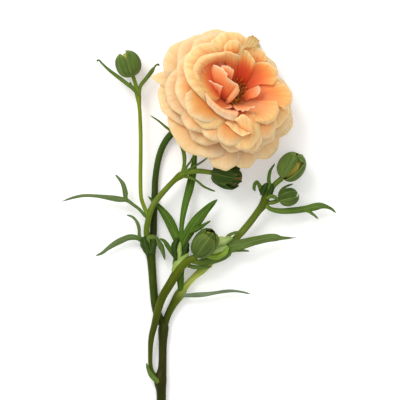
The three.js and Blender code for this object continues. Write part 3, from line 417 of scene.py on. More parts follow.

# %% Petal materials
# In the outer tissue the deep orange from 0.76 to 0.86 is partly the petals' own colour and partly painted
# shade, where each one comes out from under the ring inside it.
outer_tissue = petal_tissue("petal_tissue_outer", [
    (0.0, "#C8381E"), (0.35, "#D8541E"), (0.6, "#E27026"), (0.76, "#E88634"), (0.86, "#EFA25A"),
    (0.95, "#F5C794"), (1.0, "#F7D4AB")], pale="#F1CEA2", streak="#E89850", rim="#EAC08A")
inner_tissue = petal_tissue("petal_tissue_inner", [
    (0.0, "#B8280C"), (0.22, "#DA3C18"), (0.42, "#E44E2A"), (0.56, "#EE6C38"), (0.68, "#F6944C"),
    (0.78, "#F8B46A"), (0.9, "#F8CA88"), (1.0, "#F8D69C")], pale="#F6C888", streak="#E46A30",
    rim="#FCDCA4")
heart_tissue = petal_tissue("petal_tissue_heart", [
    (0.0, "#B8340E"), (0.25, "#DC5020"), (0.45, "#EC6C34"), (0.65, "#F5854A"), (0.82, "#FA9F66"),
    (0.93, "#FCC292"), (1.0, "#FDD6A4")], pale="#FCBA84", streak="#E66E34", rim="#FEE0B8")
dried_tissue = petal_tissue("petal_tissue_dried", [
    (0.0, "#A86A30"), (0.6, "#C89858"), (0.9, "#C4A068"), (1.0, "#A88048")], pale="#D8BC84",
    streak="#A07A40", rim="#9A7844")
print("petal materials:", *(m.name for m in (outer_tissue, inner_tissue, heart_tissue, dried_tissue)))

# %% [markdown]
# ## The bloom's frame
#
# The bloom leans away from upright, so it has its own frame: a centre on top of the receptacle and
# an axis. A point on the bloom is given by its distance from the axis, its turn round it and its
# height. Chance is drawn from a formula instead of a generator, so each petal gets the same draw
# each time, whatever is made before it.

# %% The bloom's frame
BLOOM_CENTRE = np.array([14.6, 64.0, 11.9])
BLOOM_TILT = 25                   # degrees from upright
BLOOM_HEADING = 38                # degrees from +X, towards where it leans

tilt, heading = math.radians(BLOOM_TILT), math.radians(BLOOM_HEADING)
AXIS = np.array([math.sin(tilt) * math.cos(heading), math.sin(tilt) * math.sin(heading),
                 math.cos(tilt)])
TURN = np.array(Vector((0, 0, 1)).rotation_difference(Vector(AXIS)).to_matrix())


def on_bloom(radius, turn, height):
    """Points round the bloom's axis, from arrays or single values."""
    local = np.stack(np.broadcast_arrays(radius * np.cos(turn), radius * np.sin(turn), height), -1)
    return local @ TURN.T + BLOOM_CENTRE


def bloom_point(radius, degrees, height):
    return on_bloom(radius, math.radians(degrees), height)


print("bloom axis:", AXIS.round(3))

# %% Seeded draws
def draw(number, use):
    """A draw from 0 to 1 that is the same each time for one petal and one use."""
    x = math.sin(number * 12.9898 + use * 78.233) * 43758.5453    # its far decimals look like chance
    return x - math.floor(x)


def spread(number, use, amount):
    """A draw from -amount to +amount."""
    return (2 * draw(number, use) - 1) * amount


def differences(number, table):
    """How far one piece differs from its kind, from a table of (use, amount)."""
    return {key: spread(number, *values) for key, values in table.items()}


def shaded(tone, difference):
    """A tone made lighter or darker, and still from 0 to 1."""
    return min(max(tone + difference, 0), 1)


print("first draws:", [round(draw(i, 1), 3) for i in range(3)])

# %% [markdown]
# ## The shape of a flat petal
#
# A petal is first drawn flat, as a fan that starts at a narrow claw, with small offsets off its
# plane: one side tucks under its neighbour, the rim curls, and pleats and ruffles run through it.
# Each of those is a simple wave or power of the share along or across the petal, so that each has
# one number for its size.

# %% Shares and waves
def waves(share, count, phase):
    """Waves between -1 and 1, so many of them while the share grows by 1."""
    return np.sin(2 * np.pi * count * share + phase)


def share_past(share, start):
    """0 up to the start, then rising to 1 at the end."""
    return np.clip((share - start) / (1 - start), 0, 1)


def shares(grid):
    """Shares along, 0 to 1, and across, -1 to 1, for a grid of points."""
    return np.linspace(0, 1, grid[0])[:, None], np.linspace(-1, 1, grid[1])[None]


print("a quarter along a wave:", waves(0.25, 1, 0), "and a rim at 0.9:", share_past(0.9, 0.8).round(2))

# %% A function for a flat petal
PETAL_FAN = math.radians(52)      # from a petal's middle line to its side
PETAL_CLAW = 1.2                  # mm, half the width of a petal's root
RIM_FROM = 0.72                   # share of a petal's length where its rim starts to curl
ROUNDING, CORNER_CUT = 0.12, 0.30    # shares of its length missing at the sides and corners
RAGGED = 0.006                    # share of its length by which a rim is uneven
NOTCH, NOTCH_WIDTH = 0.012, 0.13  # the shallow dip in a rim
NOTCH_OFF_MIDDLE = 0.25           # share of half the width
RAGGED_WAVES, RUFFLE_WAVES, PLEAT_WAVES = 2.6, 2.7, 7    # for each half of a petal


def flat_petal(p, u, v):
    """A fan before it is bent: distances forward along it, aside and off its plane."""
    phase = p["phase"]
    # The outline is rounded, with its corners cut back, uneven, and has one shallow dip.
    outline = (1 - ROUNDING * v ** 2 - CORNER_CUT * v ** 8 - p.get("point", 0) * np.abs(v)
               + RAGGED * waves(v, RAGGED_WAVES, 3 * phase)
               - NOTCH * np.exp(-((v - NOTCH_OFF_MIDDLE * math.sin(phase)) / NOTCH_WIDTH) ** 2))
    reach = u * p["length"] * outline
    forward = reach * np.cos(v * PETAL_FAN)
    aside = reach * np.sin(v * PETAL_FAN) * p["width"] + v * PETAL_CLAW * (1 - u)
    rim = share_past(u, RIM_FROM)
    # In turn: tucked and hollow, curled at the rim, one slow wave, ruffles at the rim, and pleats.
    off = (p["tuck"] * v * np.sqrt(u) + p["hollow"] * v ** 2 * u + p.get("fold", 0) * np.abs(v) * u
           - p["curl"] * rim ** 2 * (1 + 0.6 * v ** 2)
           + p["wave"] * u ** 3 * waves(v, p["ripples"], phase)
           + p["ruffle"] * rim * waves(v, RUFFLE_WAVES, 2 * phase)
           + p["pleat"] * u ** 1.5 * waves(v, PLEAT_WAVES, 5 * phase))
    return forward, aside, off


print("a petal's fan covers", round(2 * math.degrees(PETAL_FAN)), "degrees")

# %% [markdown]
# ## The shape of a ring petal
#
# The flat petal is rolled onto a bowl round the bloom's axis that gets flatter towards the rim. The
# bowl's two slopes say nearly all about it: steep ones close the cup, and a slope below zero at the
# rim rolls the petal back. Where the bowl dips below the table, the petal bends to lie along it.

# %% Functions for a ring petal
PETAL_THICKNESS = 0.34            # mm
PETAL_THINNING = 0.45             # share of the thickness that is gone at the rim
THINNING_FROM = 0.8               # share of its length where a petal starts to thin
TABLE_CLEARANCE = 0.5             # mm that a petal's middle surface stays above the table
TABLE_SOFTNESS = 1.6              # mm over which a petal bends to lie along the table
RING_GRID = (24, 41)              # points along and across


def petal_sheet(points, u, v, tone):
    """A petal's sheet, thinner at the rim and bent along the table where it would sink in."""
    over = points[..., 2] - TABLE_CLEARANCE
    lifted = points.copy()
    lifted[..., 2] = TABLE_CLEARANCE + (over + np.sqrt(over ** 2 + TABLE_SOFTNESS ** 2)) / 2
    thinned = 1 - PETAL_THINNING * share_past(u, THINNING_FROM) * np.ones_like(v)
    return sheet(lifted, PETAL_THICKNESS * thinned, tone)


def ring_petal(p, grid=RING_GRID):
    """A petal rolled onto a bowl round the bloom's axis."""
    u, v = shares(grid)
    forward, aside, off = flat_petal(p, u, v)
    start = math.radians(p["from"])
    bend = (start - math.radians(p["to"])) / p["length"]
    slope = start - bend * forward
    radius = p["root"] + (math.sin(start) - np.sin(slope)) / bend
    height = p["rise"] + (np.cos(slope) - math.cos(start)) / bend
    turn = math.radians(p["azimuth"]) + aside / np.maximum(radius, p["tightest"])
    points = on_bloom(radius - np.sin(slope) * off, turn, height + np.cos(slope) * off)
    return petal_sheet(points, u, v, p["tone"])


print("a ring petal has", 2 * RING_GRID[0] * RING_GRID[1], "points")

# %% [markdown]
# ## Rings of petals
#
# A double ranunculus has dozens of petals. The outermost are the largest and lie nearly flat, and
# each ring further in starts higher and steeper, so that its rim lies inside the last one. One rule
# per ring with small draws for each petal gives that without two petals alike. Rings that lie
# between two of the solids' rings fill the gaps and give the many narrow crescents of rims. The
# outermost petals decide the bloom's outline, so each of those has its own place, reach and width.
# One of the outer petals has dried up: it is narrow and deeply pleated.

# %% Values of each ring
GUARD = [
    dict(azimuth=2, reach=0.99, width=0.80),
    dict(azimuth=38, reach=0.92, width=0.80),
    dict(azimuth=98, reach=0.98, width=0.84),
    dict(azimuth=143, reach=1.00, width=0.98),
    dict(azimuth=169, reach=1.09, width=0.52, point=0.5, fold=1.2),
    dict(azimuth=186, reach=0.96, width=0.84),
    dict(azimuth=224, reach=0.96, width=1.20),
    dict(azimuth=262, reach=1.02, width=0.52, pleat=0.16),
    dict(azimuth=281, reach=1.00, width=0.50, pleat=0.2),
    dict(azimuth=306, reach=1.01, width=0.66, pleat=0.25),
    dict(azimuth=338, reach=1.01, width=0.72, pleat=0.12),
]
DRIED = [dict(azimuth=64, reach=1.06, width=0.30, pleat=0.35, ruffle=0.5, curl=2.4)]
INNER = [
    dict(azimuth=37),
    dict(azimuth=96),
    dict(azimuth=152),
    dict(azimuth=218, slopes=(58, -12), tone=0.5),
    dict(azimuth=272, slopes=(56, -14), tone=0.6),
    dict(azimuth=333, slopes=(60, -12), tone=0.5),
]
RINGS = {
    "guard": dict(placed=GUARD, root=4.5, rise=0.0, slopes=(17, -13), length=33.4, width=0.76,
                  curl=0.6, tone=0.8, pleat=0.08),
    "dried": dict(placed=DRIED, root=4.5, rise=1.5, slopes=(30, -10), length=32.0, width=0.3,
                  curl=2.0, tone=0.5, pleat=0.35),
    "outer": dict(count=7, first=28, root=4.5, rise=1.8, slopes=(36, -20), length=30.8, width=0.92,
                  curl=1.3, tone=0.5, pleat=0.05),
    "second": dict(count=7, first=2, root=4.7, rise=2.9, slopes=(46, -20), length=29.8, width=0.90,
                   curl=1.4, tone=0.38, pleat=0.05),
    "middle": dict(count=7, first=28, root=5.0, rise=3.9, slopes=(54, -18), length=28.8, width=0.92,
                   curl=1.5, tone=0.3, pleat=0.05),
    "third": dict(count=7, first=-3, root=5.6, rise=4.6, slopes=(60, -13), length=28.0, width=0.92,
                  curl=1.5, tone=0.22, pleat=0.05),
    "inner": dict(placed=INNER, root=6.2, rise=5.2, slopes=(64, -9), length=27.0, width=1.0,
                  curl=1.5, tone=0.15, pleat=0.05),
}
FIRST_NUMBER = {"guard": 1, "dried": 12, "outer": 13, "middle": 20, "inner": 27,
                "second": 111, "third": 121}
OUTLINE = [(0, 1.0), (20, 0.93), (60, 0.93), (90, 1.0), (120, 1.04), (190, 1.0), (205, 0.93),
           (240, 0.93), (262, 1.02), (320, 1.03), (360, 1.0)]
print("rings:", *RINGS)

# %% All values of one petal
BLOOM_OPENING = 9                 # degrees; the bowl is wider on the side it leans to
OPEN_SIDE = 20                    # degrees, the turn of that side
SIDE_SHORTENING = 0.07            # share that its petals look shorter, as they lie flatter
FOOT_NARROWING = 0.42             # share that petals at the bloom's foot are narrower
TIGHTEST_TURN = 7.0               # mm; near the axis a petal isn't rolled tighter than this
PETAL_TUCK = 1.8                  # mm that one side of a petal lies under its neighbour
PETAL_HOLLOW = -1.4               # mm; below zero a petal's sides bend away from the axis
PETAL_WAVE, PETAL_RUFFLE = 0.6, 0.25    # mm, heights of its slow wave and of its ruffles
# How petals of one ring differ: the use of the draw, and how far it goes either way.
PETAL_DRAWS = dict(azimuth=(1, 6), rise=(2, 0.25), first_slope=(3, 1.5), last_slope=(4, 4),
                   reach=(5, 0.07), width=(6, 0.08), hollow=(7, 0.4), curl=(8, 0.5), tone=(14, 0.15))


def petal_values(ring, number, i):
    """All values of one petal: its ring's rule, small draws, and what is set for it alone."""
    by = differences(number, PETAL_DRAWS)
    if "placed" in ring:
        own = ring["placed"][i]
        azimuth = own["azimuth"]
    else:
        own = {}
        azimuth = ring["first"] + 360 / ring["count"] * i + by["azimuth"]
    slopes = own.get("slopes", ring["slopes"])
    side = math.cos(math.radians(azimuth - OPEN_SIDE))
    towards_foot = max(-math.sin(math.radians(azimuth)), 0)
    # High rings open most, and on the side that the bloom leans to.
    lean = BLOOM_OPENING * max(side, -0.1) * (0.4 + ring["rise"] / 4)
    values = {
        "azimuth": azimuth,
        "root": ring["root"],
        "tightest": TIGHTEST_TURN,
        "rise": ring["rise"] + by["rise"],
        "from": slopes[0] - lean * 0.6 + by["first_slope"],
        "to": slopes[1] - lean + by["last_slope"],
        "width": ring["width"] * (1 + by["width"]) * (1 - FOOT_NARROWING * towards_foot),
        "tuck": PETAL_TUCK,
        "hollow": PETAL_HOLLOW + by["hollow"],
        "curl": ring["curl"] * (1 + by["curl"]),
        "wave": PETAL_WAVE * (0.5 + draw(number, 9)),
        "ripples": 0.8 + 0.6 * draw(number, 10),
        "phase": 2 * math.pi * draw(number, 11),
        "pleat": ring["pleat"] * (0.5 + draw(number, 12)),
        "ruffle": PETAL_RUFFLE * (0.4 + draw(number, 13)),
        "tone": shaded(ring["tone"], by["tone"]),
        **own,
    }
    reach = own.get("reach", np.interp(azimuth % 360, *zip(*OUTLINE)) + by["reach"])
    values["length"] = ring["length"] * (reach - SIDE_SHORTENING * side)
    return values


first_petal = petal_values(RINGS["guard"], FIRST_NUMBER["guard"], 0)
print("the first guard petal is", round(first_petal["length"], 1), "mm long")

# %% Petals of each ring
for ring_name, ring in RINGS.items():
    count = len(ring["placed"]) if "placed" in ring else ring["count"]
    numbers = [FIRST_NUMBER[ring_name] + i for i in range(count)]
    petals = [ring_petal(petal_values(ring, number, i)) for i, number in enumerate(numbers)]
    tissue = {"dried": dried_tissue, "inner": inner_tissue}.get(ring_name, outer_tissue)
    piece("petals_" + ring_name, petals, tissue, "bloom_petals")

# %% [markdown]
# ## The shape of a placed petal
#
# Inside the rings the petals follow no rule. Each of those is laid through rows of points of its
# own, from its base to its rim, and each row runs from the petal's left side to its right. Smooth
# lines fill in the grid, first along the petal and then across it. A small ruffle and an uneven rim
# are added, and the root is sunk below the base, so that it ends inside the receptacle.

# %% Functions for a placed petal
ROOT_DEPTH = 3                    # mm from a petal's base down to its root
PLACED_GRID = (25, 33)            # points along and across
PLACED_RIM_FROM = 0.5             # share of its length
PLACED_RUFFLE_WAVES, PLACED_RAGGED_WAVES = 1.9, 2.3


def between(knots, steps):
    """Fills in a grid of points along its first side with smooth lines."""
    (a, b, c, d), share = knots_around(knots, steps)
    bend = (2 * a - 5 * b + 4 * c - d) + share * (3 * (b - c) + d - a)
    return b + share * ((c - a) + share * bend) / 2


def placed_petal(p, phase):
    """A petal through its own rows of points, with a ruffled and slightly uneven rim."""
    rows = np.array(p["through"], float)
    knots = np.concatenate([rows[:1] - AXIS * ROOT_DEPTH, rows])
    points = between(between(knots, PLACED_GRID[0]).swapaxes(0, 1), PLACED_GRID[1]).swapaxes(0, 1)
    u, v = shares(PLACED_GRID)
    normal = unit(np.cross(np.gradient(points, axis=1), np.gradient(points, axis=0)))
    rim = share_past(u, PLACED_RIM_FROM)
    off = (p.get("ruffle", 0.2) * rim * waves(v, PLACED_RUFFLE_WAVES, phase)
           + p.get("curl", 0.6) * rim ** 3)
    longer = p.get("ragged", 0.12) * rim ** 2 * waves(v, PLACED_RAGGED_WAVES, 2 * phase)
    outwards = unit(np.gradient(points, axis=0))
    points = points - normal * off[..., None] + outwards * longer[..., None]
    shell = petal_sheet(points, u, v, p["tone"])
    shell["uv"][:, 1] **= p.get("blush", 1)
    return shell


print("a placed petal has", 2 * PLACED_GRID[0] * PLACED_GRID[1], "points")

# %% [markdown]
# ## The petals of the cup
#
# The cup's tall petals stand round the eye. Behind them two more show before the rings begin, and
# the strip of the dried petal runs in over those. A blush below 1 keeps more of a petal in its
# rim's pale colour, and one above 1 keeps more of it red.

# %% Values of the cup's petals
CUP = [
    dict(tone=0.6, curl=0.3, through=[
        [[10.4, 64, 19], [10.2, 66.6, 18.8], [10.8, 69, 18.2], [12.6, 71.2, 17.6], [15.2, 72, 17]],
        [[5.4, 66.6, 23], [3.6, 71.4, 25], [4.6, 76.2, 25], [8.8, 79.4, 23.5], [14.2, 80.2, 22.5]],
        [[3.4, 66, 35], [0, 72.6, 37.5], [0.2, 77.8, 37.2], [4.6, 82, 34.6], [13.4, 84.2, 30.5]],
        [[3, 65.3, 35], [-2.2, 72.4, 36.6], [-2.8, 78.4, 36.4], [2.2, 84, 34], [13.6, 86.2, 30.6]]]),
    dict(tone=0.1, blush=1.6, through=[
        [[14.5, 71.8, 17.4], [16.2, 72.2, 16.8], [18, 72, 16.2], [19.6, 71.4, 15.8]],
        [[13.6, 79, 23.5], [15.6, 79.2, 23], [18, 79, 22], [20.2, 78.4, 21.5]],
        [[12.4, 85.8, 29.5], [15.2, 85.6, 29.2], [18.4, 84.4, 28], [20.2, 83.8, 27.4]]]),
    dict(tone=0.0, blush=2.0, through=[
        [[18.4, 71.6, 16.6], [20, 71, 16.2], [21.6, 70, 16], [22.6, 68.8, 16]],
        [[19.4, 78.6, 22.4], [21.8, 78.8, 22], [24, 77.4, 21.4], [25.8, 75.4, 20.8]],
        [[19.6, 84.6, 27.6], [22.8, 86.8, 27.2], [25.6, 84, 26], [27.8, 81.2, 25]]]),
    dict(tone=0.05, blush=0.95, through=[
        [[21.6, 70.6, 16.6], [22.3, 69.9, 16.4], [22.8, 69, 16.4], [23, 67.8, 16.4], [23, 66.4, 16.6]],
        [[26, 77, 20.6], [28, 76.4, 20.4], [29.6, 74.6, 20.2], [30.2, 72.2, 20.2], [29.6, 69.8, 20.4]],
        [[27.2, 80.2, 23.6], [31.8, 80.2, 23.4], [35.8, 77.6, 23], [37.2, 73.6, 22.8], [35.8, 69.8, 23]],
        [[27.4, 80.6, 23.8], [32.6, 81.4, 23], [37.8, 78.6, 22.4], [39.4, 73.8, 22], [37.4, 69.8, 22.6]]]),
    dict(tone=0.15, blush=0.85, through=[
        [[22.8, 67.4, 16.8], [23, 66.6, 16.9], [23, 65.6, 17], [22.6, 64.2, 17.4], [21.8, 62.8, 17.8]],
        [[30.6, 70, 19.4], [31.8, 67, 20], [32, 65.2, 20], [31.4, 63.4, 20.4], [29.8, 61.4, 21]],
        [[37.6, 71.4, 21.4], [42.2, 68.4, 22], [43.8, 64.6, 21.8], [43.2, 61.2, 22.2], [40, 59, 23]],
        [[39.4, 71.8, 21.2], [44.4, 68.8, 21], [46.6, 64.6, 20.6], [46, 60.2, 21], [42.4, 57.2, 22.2]]]),
    dict(tone=0.35, blush=0.7, through=[
        [[22, 63.2, 17.6], [21.7, 62.4, 17.9], [21.2, 61.6, 18.2], [20.4, 60.6, 18.8], [19.2, 59.8, 19.2]],
        [[30.6, 62, 22], [31, 60.2, 22.2], [30.4, 58.2, 22.8], [28.2, 56.2, 23.6], [25, 55.4, 24.2]],
        [[37.4, 61.8, 25.6], [38.2, 58.4, 25.6], [37, 55, 26.2], [33.4, 52.4, 27], [28, 52, 28.6]],
        [[38.6, 62.2, 25.4], [40, 58, 25], [38.6, 53.4, 25.4], [34.4, 50, 26], [27, 50.8, 28.2]]]),
    dict(tone=0.75, through=[
        [[20, 58.6, 19.4], [17.6, 57.8, 20], [15.4, 58, 20.4]],
        [[24.4, 51.8, 29], [19.4, 51.4, 31], [14.4, 53, 32]],
        [[27, 47.2, 34.5], [21, 44.6, 37], [13.2, 51, 35.5]]]),
    dict(tone=0.6, blush=0.4, through=[
        [[20.4, 49, 35.5], [23, 47.6, 35.5], [26.6, 45.2, 34]],
        [[19, 51, 36.5], [22.4, 51.2, 36], [26.4, 48.4, 34.5]],
        [[17.5, 51.8, 37], [21.8, 54.6, 37], [25.8, 51.8, 35.5]]]),
]
print("the cup has", len(CUP), "petals")

# %% Values of the petals behind the cup
BEHIND = [
    dict(tone=0.0, blush=0.95, through=[
        [[13.6, 79.6, 19.5], [15.8, 80.2, 19.5], [18, 80, 19.2], [20.2, 79.2, 18.8]],
        [[12.4, 84.6, 25.2], [15, 86, 25], [18.4, 86, 24], [21.2, 84.8, 22.4]],
        [[12.4, 88.6, 26.2], [15.2, 91.6, 25.8], [19.4, 91.8, 24.2], [22.4, 88.8, 22]]]),
    dict(tone=0.35, blush=0.8, through=[
        [[23.4, 76.6, 17], [24.8, 76.8, 16.6], [26.4, 76.6, 16.4], [27.8, 76, 16.4], [29, 75.2, 16.6]],
        [[24.2, 82.6, 21], [26.4, 83.6, 20.4], [28.8, 83.4, 19.6], [30.8, 82.4, 18.8], [32.2, 80.8, 18]],
        [[24.4, 86.6, 22], [26.6, 88.8, 21.6], [29.6, 88.4, 20.4], [32.6, 86.4, 18.6], [34.4, 84, 17]]]),
]
DRIED_STRIP = dict(tone=0.4, ruffle=0.22, ragged=0.25, curl=0.0, through=[
    [[19.6, 84.9, 27.2], [20, 84.7, 27.3], [20.4, 84.6, 27.2]],
    [[20.7, 87.8, 26.4], [21.3, 87.4, 27.2], [22, 87, 27.6]],
    [[21.8, 89.4, 24.6], [22.6, 88.9, 25], [23.6, 88.3, 25.2]],
    [[22.8, 91.2, 22.2], [25.2, 90, 22.8], [27.8, 88.7, 22.6]],
    [[24.6, 94, 19.4], [27.3, 94.2, 19.8], [30.2, 91.8, 19.4]]])
print("behind the cup:", len(BEHIND), "petals and a dried strip")

# %% [markdown]
# ## The petals of the heart
#
# On one side of the eye a cluster of narrow petals stays half closed. They stand up, fold along
# their middle, and hide half of the eye. The last of them is broad and pale, and closes the cluster
# towards the bloom's foot.

# %% Values of the heart's petals
STANDING = [
    dict(tone=0.2, through=[
        [[11.9, 60.6, 18], [12.1, 60.5, 18], [12.3, 60.4, 18], [12.6, 60.2, 18], [12.8, 60, 18]],
        [[8.8, 65.8, 21.5], [10.6, 65.8, 24], [12.4, 65.4, 26], [14.2, 64.6, 26.3], [16.4, 63.4, 25]],
        [[5.4, 71.4, 26], [8.4, 71.4, 28.8], [11.4, 70.8, 30.6], [14, 68.8, 30.5], [18.4, 66.2, 28]],
        [[5.6, 75.8, 29], [9.2, 75.2, 31.6], [12.2, 73.8, 33], [14, 71, 32.4], [19.4, 68, 29.6]],
        [[6.7, 79.3, 32], [10.5, 77.7, 34], [13.1, 75.4, 34.4], [13.9, 72.7, 33.8], [19, 69.6, 31]]]),
    dict(tone=0.9, ruffle=0.1, curl=0.2, through=[
        [[12.6, 60.8, 18.5], [12.4, 60.2, 18.6], [12, 59.7, 18]],
        [[14.4, 63.2, 25.8], [15, 61.9, 26.2], [15.2, 61, 24.4]],
        [[16.2, 65.8, 28.6], [17.4, 64.4, 28.8], [18.1, 63.7, 26.8]],
        [[18, 68.2, 30.4], [19.2, 66.8, 30.4], [19.9, 66.2, 28.6]],
        [[18.9, 69.8, 31.6], [19.5, 69.2, 31.4], [19.8, 68.4, 30.4]]]),
    dict(tone=0.25, through=[
        [[13, 68, 25], [14, 68, 25], [15, 67.6, 25]],
        [[11.6, 73, 28], [13.8, 73.2, 29], [16, 71.6, 28.4]],
        [[10.4, 77, 30.4], [13.6, 77, 31.4], [16.9, 74.6, 30.2]],
        [[11.2, 79, 31.2], [14.6, 78.7, 31.6], [17.4, 76.7, 30.6]]]),
    dict(tone=0.7, ruffle=0.1, curl=0.2, through=[
        [[5, 70.6, 24], [5.5, 70.8, 25], [5.9, 71, 24]],
        [[2.9, 73.2, 29], [3.9, 73.9, 30.5], [4.6, 73.9, 29]],
        [[1.2, 76.2, 33], [2, 76.8, 34], [2.9, 76.4, 33]],
        [[0.9, 78.5, 35.5], [1.1, 78.4, 36], [1.3, 78.3, 35.5]]]),
    dict(tone=0.1, through=[
        [[10.4, 58.9, 18], [10.7, 58.8, 18], [11, 58.7, 18], [11.3, 58.5, 18]],
        [[6.4, 62.8, 22], [8.2, 62.4, 21.5], [9.6, 62.2, 22.5], [10.3, 62, 24.5]],
        [[3.6, 67.6, 27], [6.2, 66.6, 25.8], [8.8, 66, 26.5], [10.5, 65.4, 28.5]],
        [[1.4, 73.4, 34.5], [4.2, 71.6, 32.5], [7.6, 69.9, 32], [11.5, 68.3, 32.5]]]),
    dict(tone=0.35, through=[
        [[11.9, 60.4, 19.5], [13.6, 60.6, 19.5], [15.6, 60.4, 19.5]],
        [[12.2, 59, 25], [14.2, 59, 24.8], [16.3, 59.3, 24.6]],
        [[12.6, 57.6, 28.5], [14.6, 57.4, 29], [16.6, 58, 28.5]]]),
    dict(tone=0.3, ruffle=0.5, through=[
        [[16.6, 60.6, 19], [19, 60.6, 19], [21.5, 60.4, 19]],
        [[16.9, 59, 25], [20.3, 58.7, 24.5], [24, 58.8, 25.5]],
        [[17.6, 56.9, 29.5], [22.6, 56.2, 28.2], [28, 58.6, 29]]]),
    dict(tone=0.15, ruffle=0.1, through=[
        [[20.8, 63.2, 17.4], [21.2, 62.2, 17], [21.2, 61.2, 17.2]],
        [[23.6, 66.6, 22.2], [24.4, 64.8, 21.6], [25, 62.8, 22.2]],
        [[26.8, 68.3, 24.4], [27.4, 66.3, 23.8], [28, 63.6, 24.2]],
        [[29.4, 69.2, 25.6], [30.2, 67.8, 25.4], [30, 65.6, 25.2]]]),
    dict(tone=0.0, blush=0.35, ruffle=0.1, curl=0.0, through=[
        [[7.5, 64.5, 19], [9, 61.5, 18.5], [11.5, 59.3, 18], [14.5, 58.6, 18], [16.5, 58.6, 18]],
        [[5.2, 65.2, 28], [7.2, 61.4, 28], [11.2, 58.2, 27.5], [15.2, 57.2, 27], [18, 57, 26]],
        [[3.7, 65.3, 36.6], [6.4, 61.4, 37.8], [11.4, 57.3, 37.6], [16, 55.9, 36.6], [19.4, 55.4, 35.2]],
        [[2.9, 64.9, 36], [4.6, 59.4, 36.6], [10, 54.4, 36.4], [15.2, 51.9, 35.8],
         [17.6, 51.6, 35]]]),
]
print("the heart has", len(STANDING), "petals")

# %% Petals inside the rings
def placed_petals(table, first_number):
    phases = (2 * math.pi * draw(first_number + i, 11) for i in range(len(table)))
    return [placed_petal(values, phase) for values, phase in zip(table, phases)]


piece("petals_cup", placed_petals(CUP + BEHIND, 33), inner_tissue, "bloom_petals")
piece("petals_dried_strip", [placed_petal(DRIED_STRIP, phase=1.0)], dried_tissue, "bloom_petals")
piece("petals_heart", placed_petals(STANDING, 43), heart_tissue, "bloom_petals")

# %% [markdown]
# ## The eye: stamens round a cone of carpels
#
# Between the petals sits a ring of stamens, each a thin filament with a long anther on top that is
# covered in dark golden pollen. Inside the ring a cone holds the carpels, small hooked pips that
# follow the same spiral as sunflower seeds. Both are far smaller than a petal, so plain rods and
# beads in the right number are enough.

# %% Materials of the eye
def dusty_tissue(name, dark, light, roughness, mottle_mm):
    """A matt surface whose colour wanders between two shades over the given length."""
    material, tree, surface = new_material(name)
    place = node(tree, "ShaderNodeTexCoord")
    mottle = node(tree, "ShaderNodeTexNoise", {
        "Vector": place.outputs["Object"], "Scale": 1 / (mottle_mm * MM), "Detail": 2.0})
    mixed = node(tree, "ShaderNodeMath", {0: mottle.outputs["Fac"], 1: surface["tone"]},
                 operation="ADD")
    colour = node(tree, "ShaderNodeValToRGB", {"Fac": mixed.outputs[0]}, [(0.5, dark), (1.0, light)])
    fill_inputs(tree, tree.nodes["Principled BSDF"], {
        "Base Color": colour.outputs["Color"], "Roughness": roughness, "IOR": PETAL_IOR})
    return material


pollen = dusty_tissue("pollen_dusted_anther", "#8A4E12", "#DC9A34", 0.8, mottle_mm=1.5)
carpel_skin = dusty_tissue("carpel_skin", "#7A4616", "#B47A2C", 0.6, mottle_mm=1.2)
print("materials of the eye:", pollen.name, carpel_skin.name)

# %% Functions for the seat and a stamen
EYE_FLOOR = 6.35                  # mm from the bloom's centre up to the stamens' seat
FILAMENT_TONE = 0.75              # lighter than most anthers
FILAMENT_RADII = (0.17, 0.13, 0.12)    # mm at its foot, middle and head
FILAMENT_FOOT = 0.4               # mm of it that are sunk in the seat
FILAMENT_ARCH = 0.1               # mm that its middle is raised
ANTHER_WIDTH, ANTHER_LENGTH = 0.62, 1.7
GRAIN_TONES = 0.6                 # anthers and pips have tones from 0 to this
STAMEN_ROWS = [
    dict(count=16, radius=3.3, lean=4, length=3.9),
    dict(count=20, radius=4.0, lean=12, length=4.2),
    dict(count=24, radius=4.7, lean=24, length=4.6),
]
STAMEN_DRAWS = dict(turn=(1, 6), lean=(2, 7), length=(3, 0.15))    # use and amount of each draw
SEAT = [(5.4, -0.5), (5.2, 0.1), (2.0, 0.3)]    # radius and height of the ring that bears them


def turned(outline, step, tone=0.1, floor=EYE_FLOOR):
    """A closed shell turned round the bloom's axis from (radius, height) over a floor."""
    return rings(np.array([[bloom_point(radius, degrees, floor + height)
                            for degrees in range(0, 360, step)] for radius, height in outline]), tone)


def stamen(row, number, degrees):
    """A filament that leans outwards, and the anther on its end."""
    by = differences(number, STAMEN_DRAWS)
    degrees += by["turn"]
    lean = math.radians(row["lean"] + by["lean"])
    length = row["length"] * (1 + by["length"])
    foot = bloom_point(row["radius"], degrees, EYE_FLOOR - FILAMENT_FOOT)
    head = bloom_point(row["radius"] + length * math.sin(lean), degrees,
                       EYE_FLOOR + length * math.cos(lean))
    middle = (foot + head) / 2 + [0, 0, FILAMENT_ARCH]
    knots = [[*at, radius] for at, radius in zip((foot, middle, head), FILAMENT_RADII)]
    filament = tube(knots, sides=5, steps_per_knot=2, tone=FILAMENT_TONE)
    anther = ball(head, head - foot, ANTHER_WIDTH, ANTHER_LENGTH, sides=7, bands=4,
                  tone=GRAIN_TONES * draw(number, 4))
    return [filament, anther]


print("rows of stamens:", [row["count"] for row in STAMEN_ROWS])

# %% Stamens
stamens = []
for row_number, row in enumerate(STAMEN_ROWS):
    for i in range(row["count"]):
        stamens += stamen(row, 200 + 40 * row_number + i, 360 / row["count"] * i)
piece("stamens", stamens + [turned(SEAT, 15)], pollen, "bloom_stamens")

# %% Carpels
CARPEL_CONE = [(2.6, 0.0), (2.6, 1.2), (2.1, 2.5), (1.2, 3.3), (0.3, 3.6)]
CARPELS = 60
PIP_WIDTH, PIP_LENGTH = 0.6, 1.1
PIP_DOME = (2.35, 2.7)            # mm, radius and height of the dome that the pips sit on
DOME_FOOT, PIPS_POINT_FROM = 0.8, 0.5    # mm over the floor
TOP_SLOPE, SLOPE_RANGE = 6, 82    # degrees from the axis to the first pip, and on to the last
GOLDEN_TURN = 137.508             # degrees from one seed to the next in a natural spiral

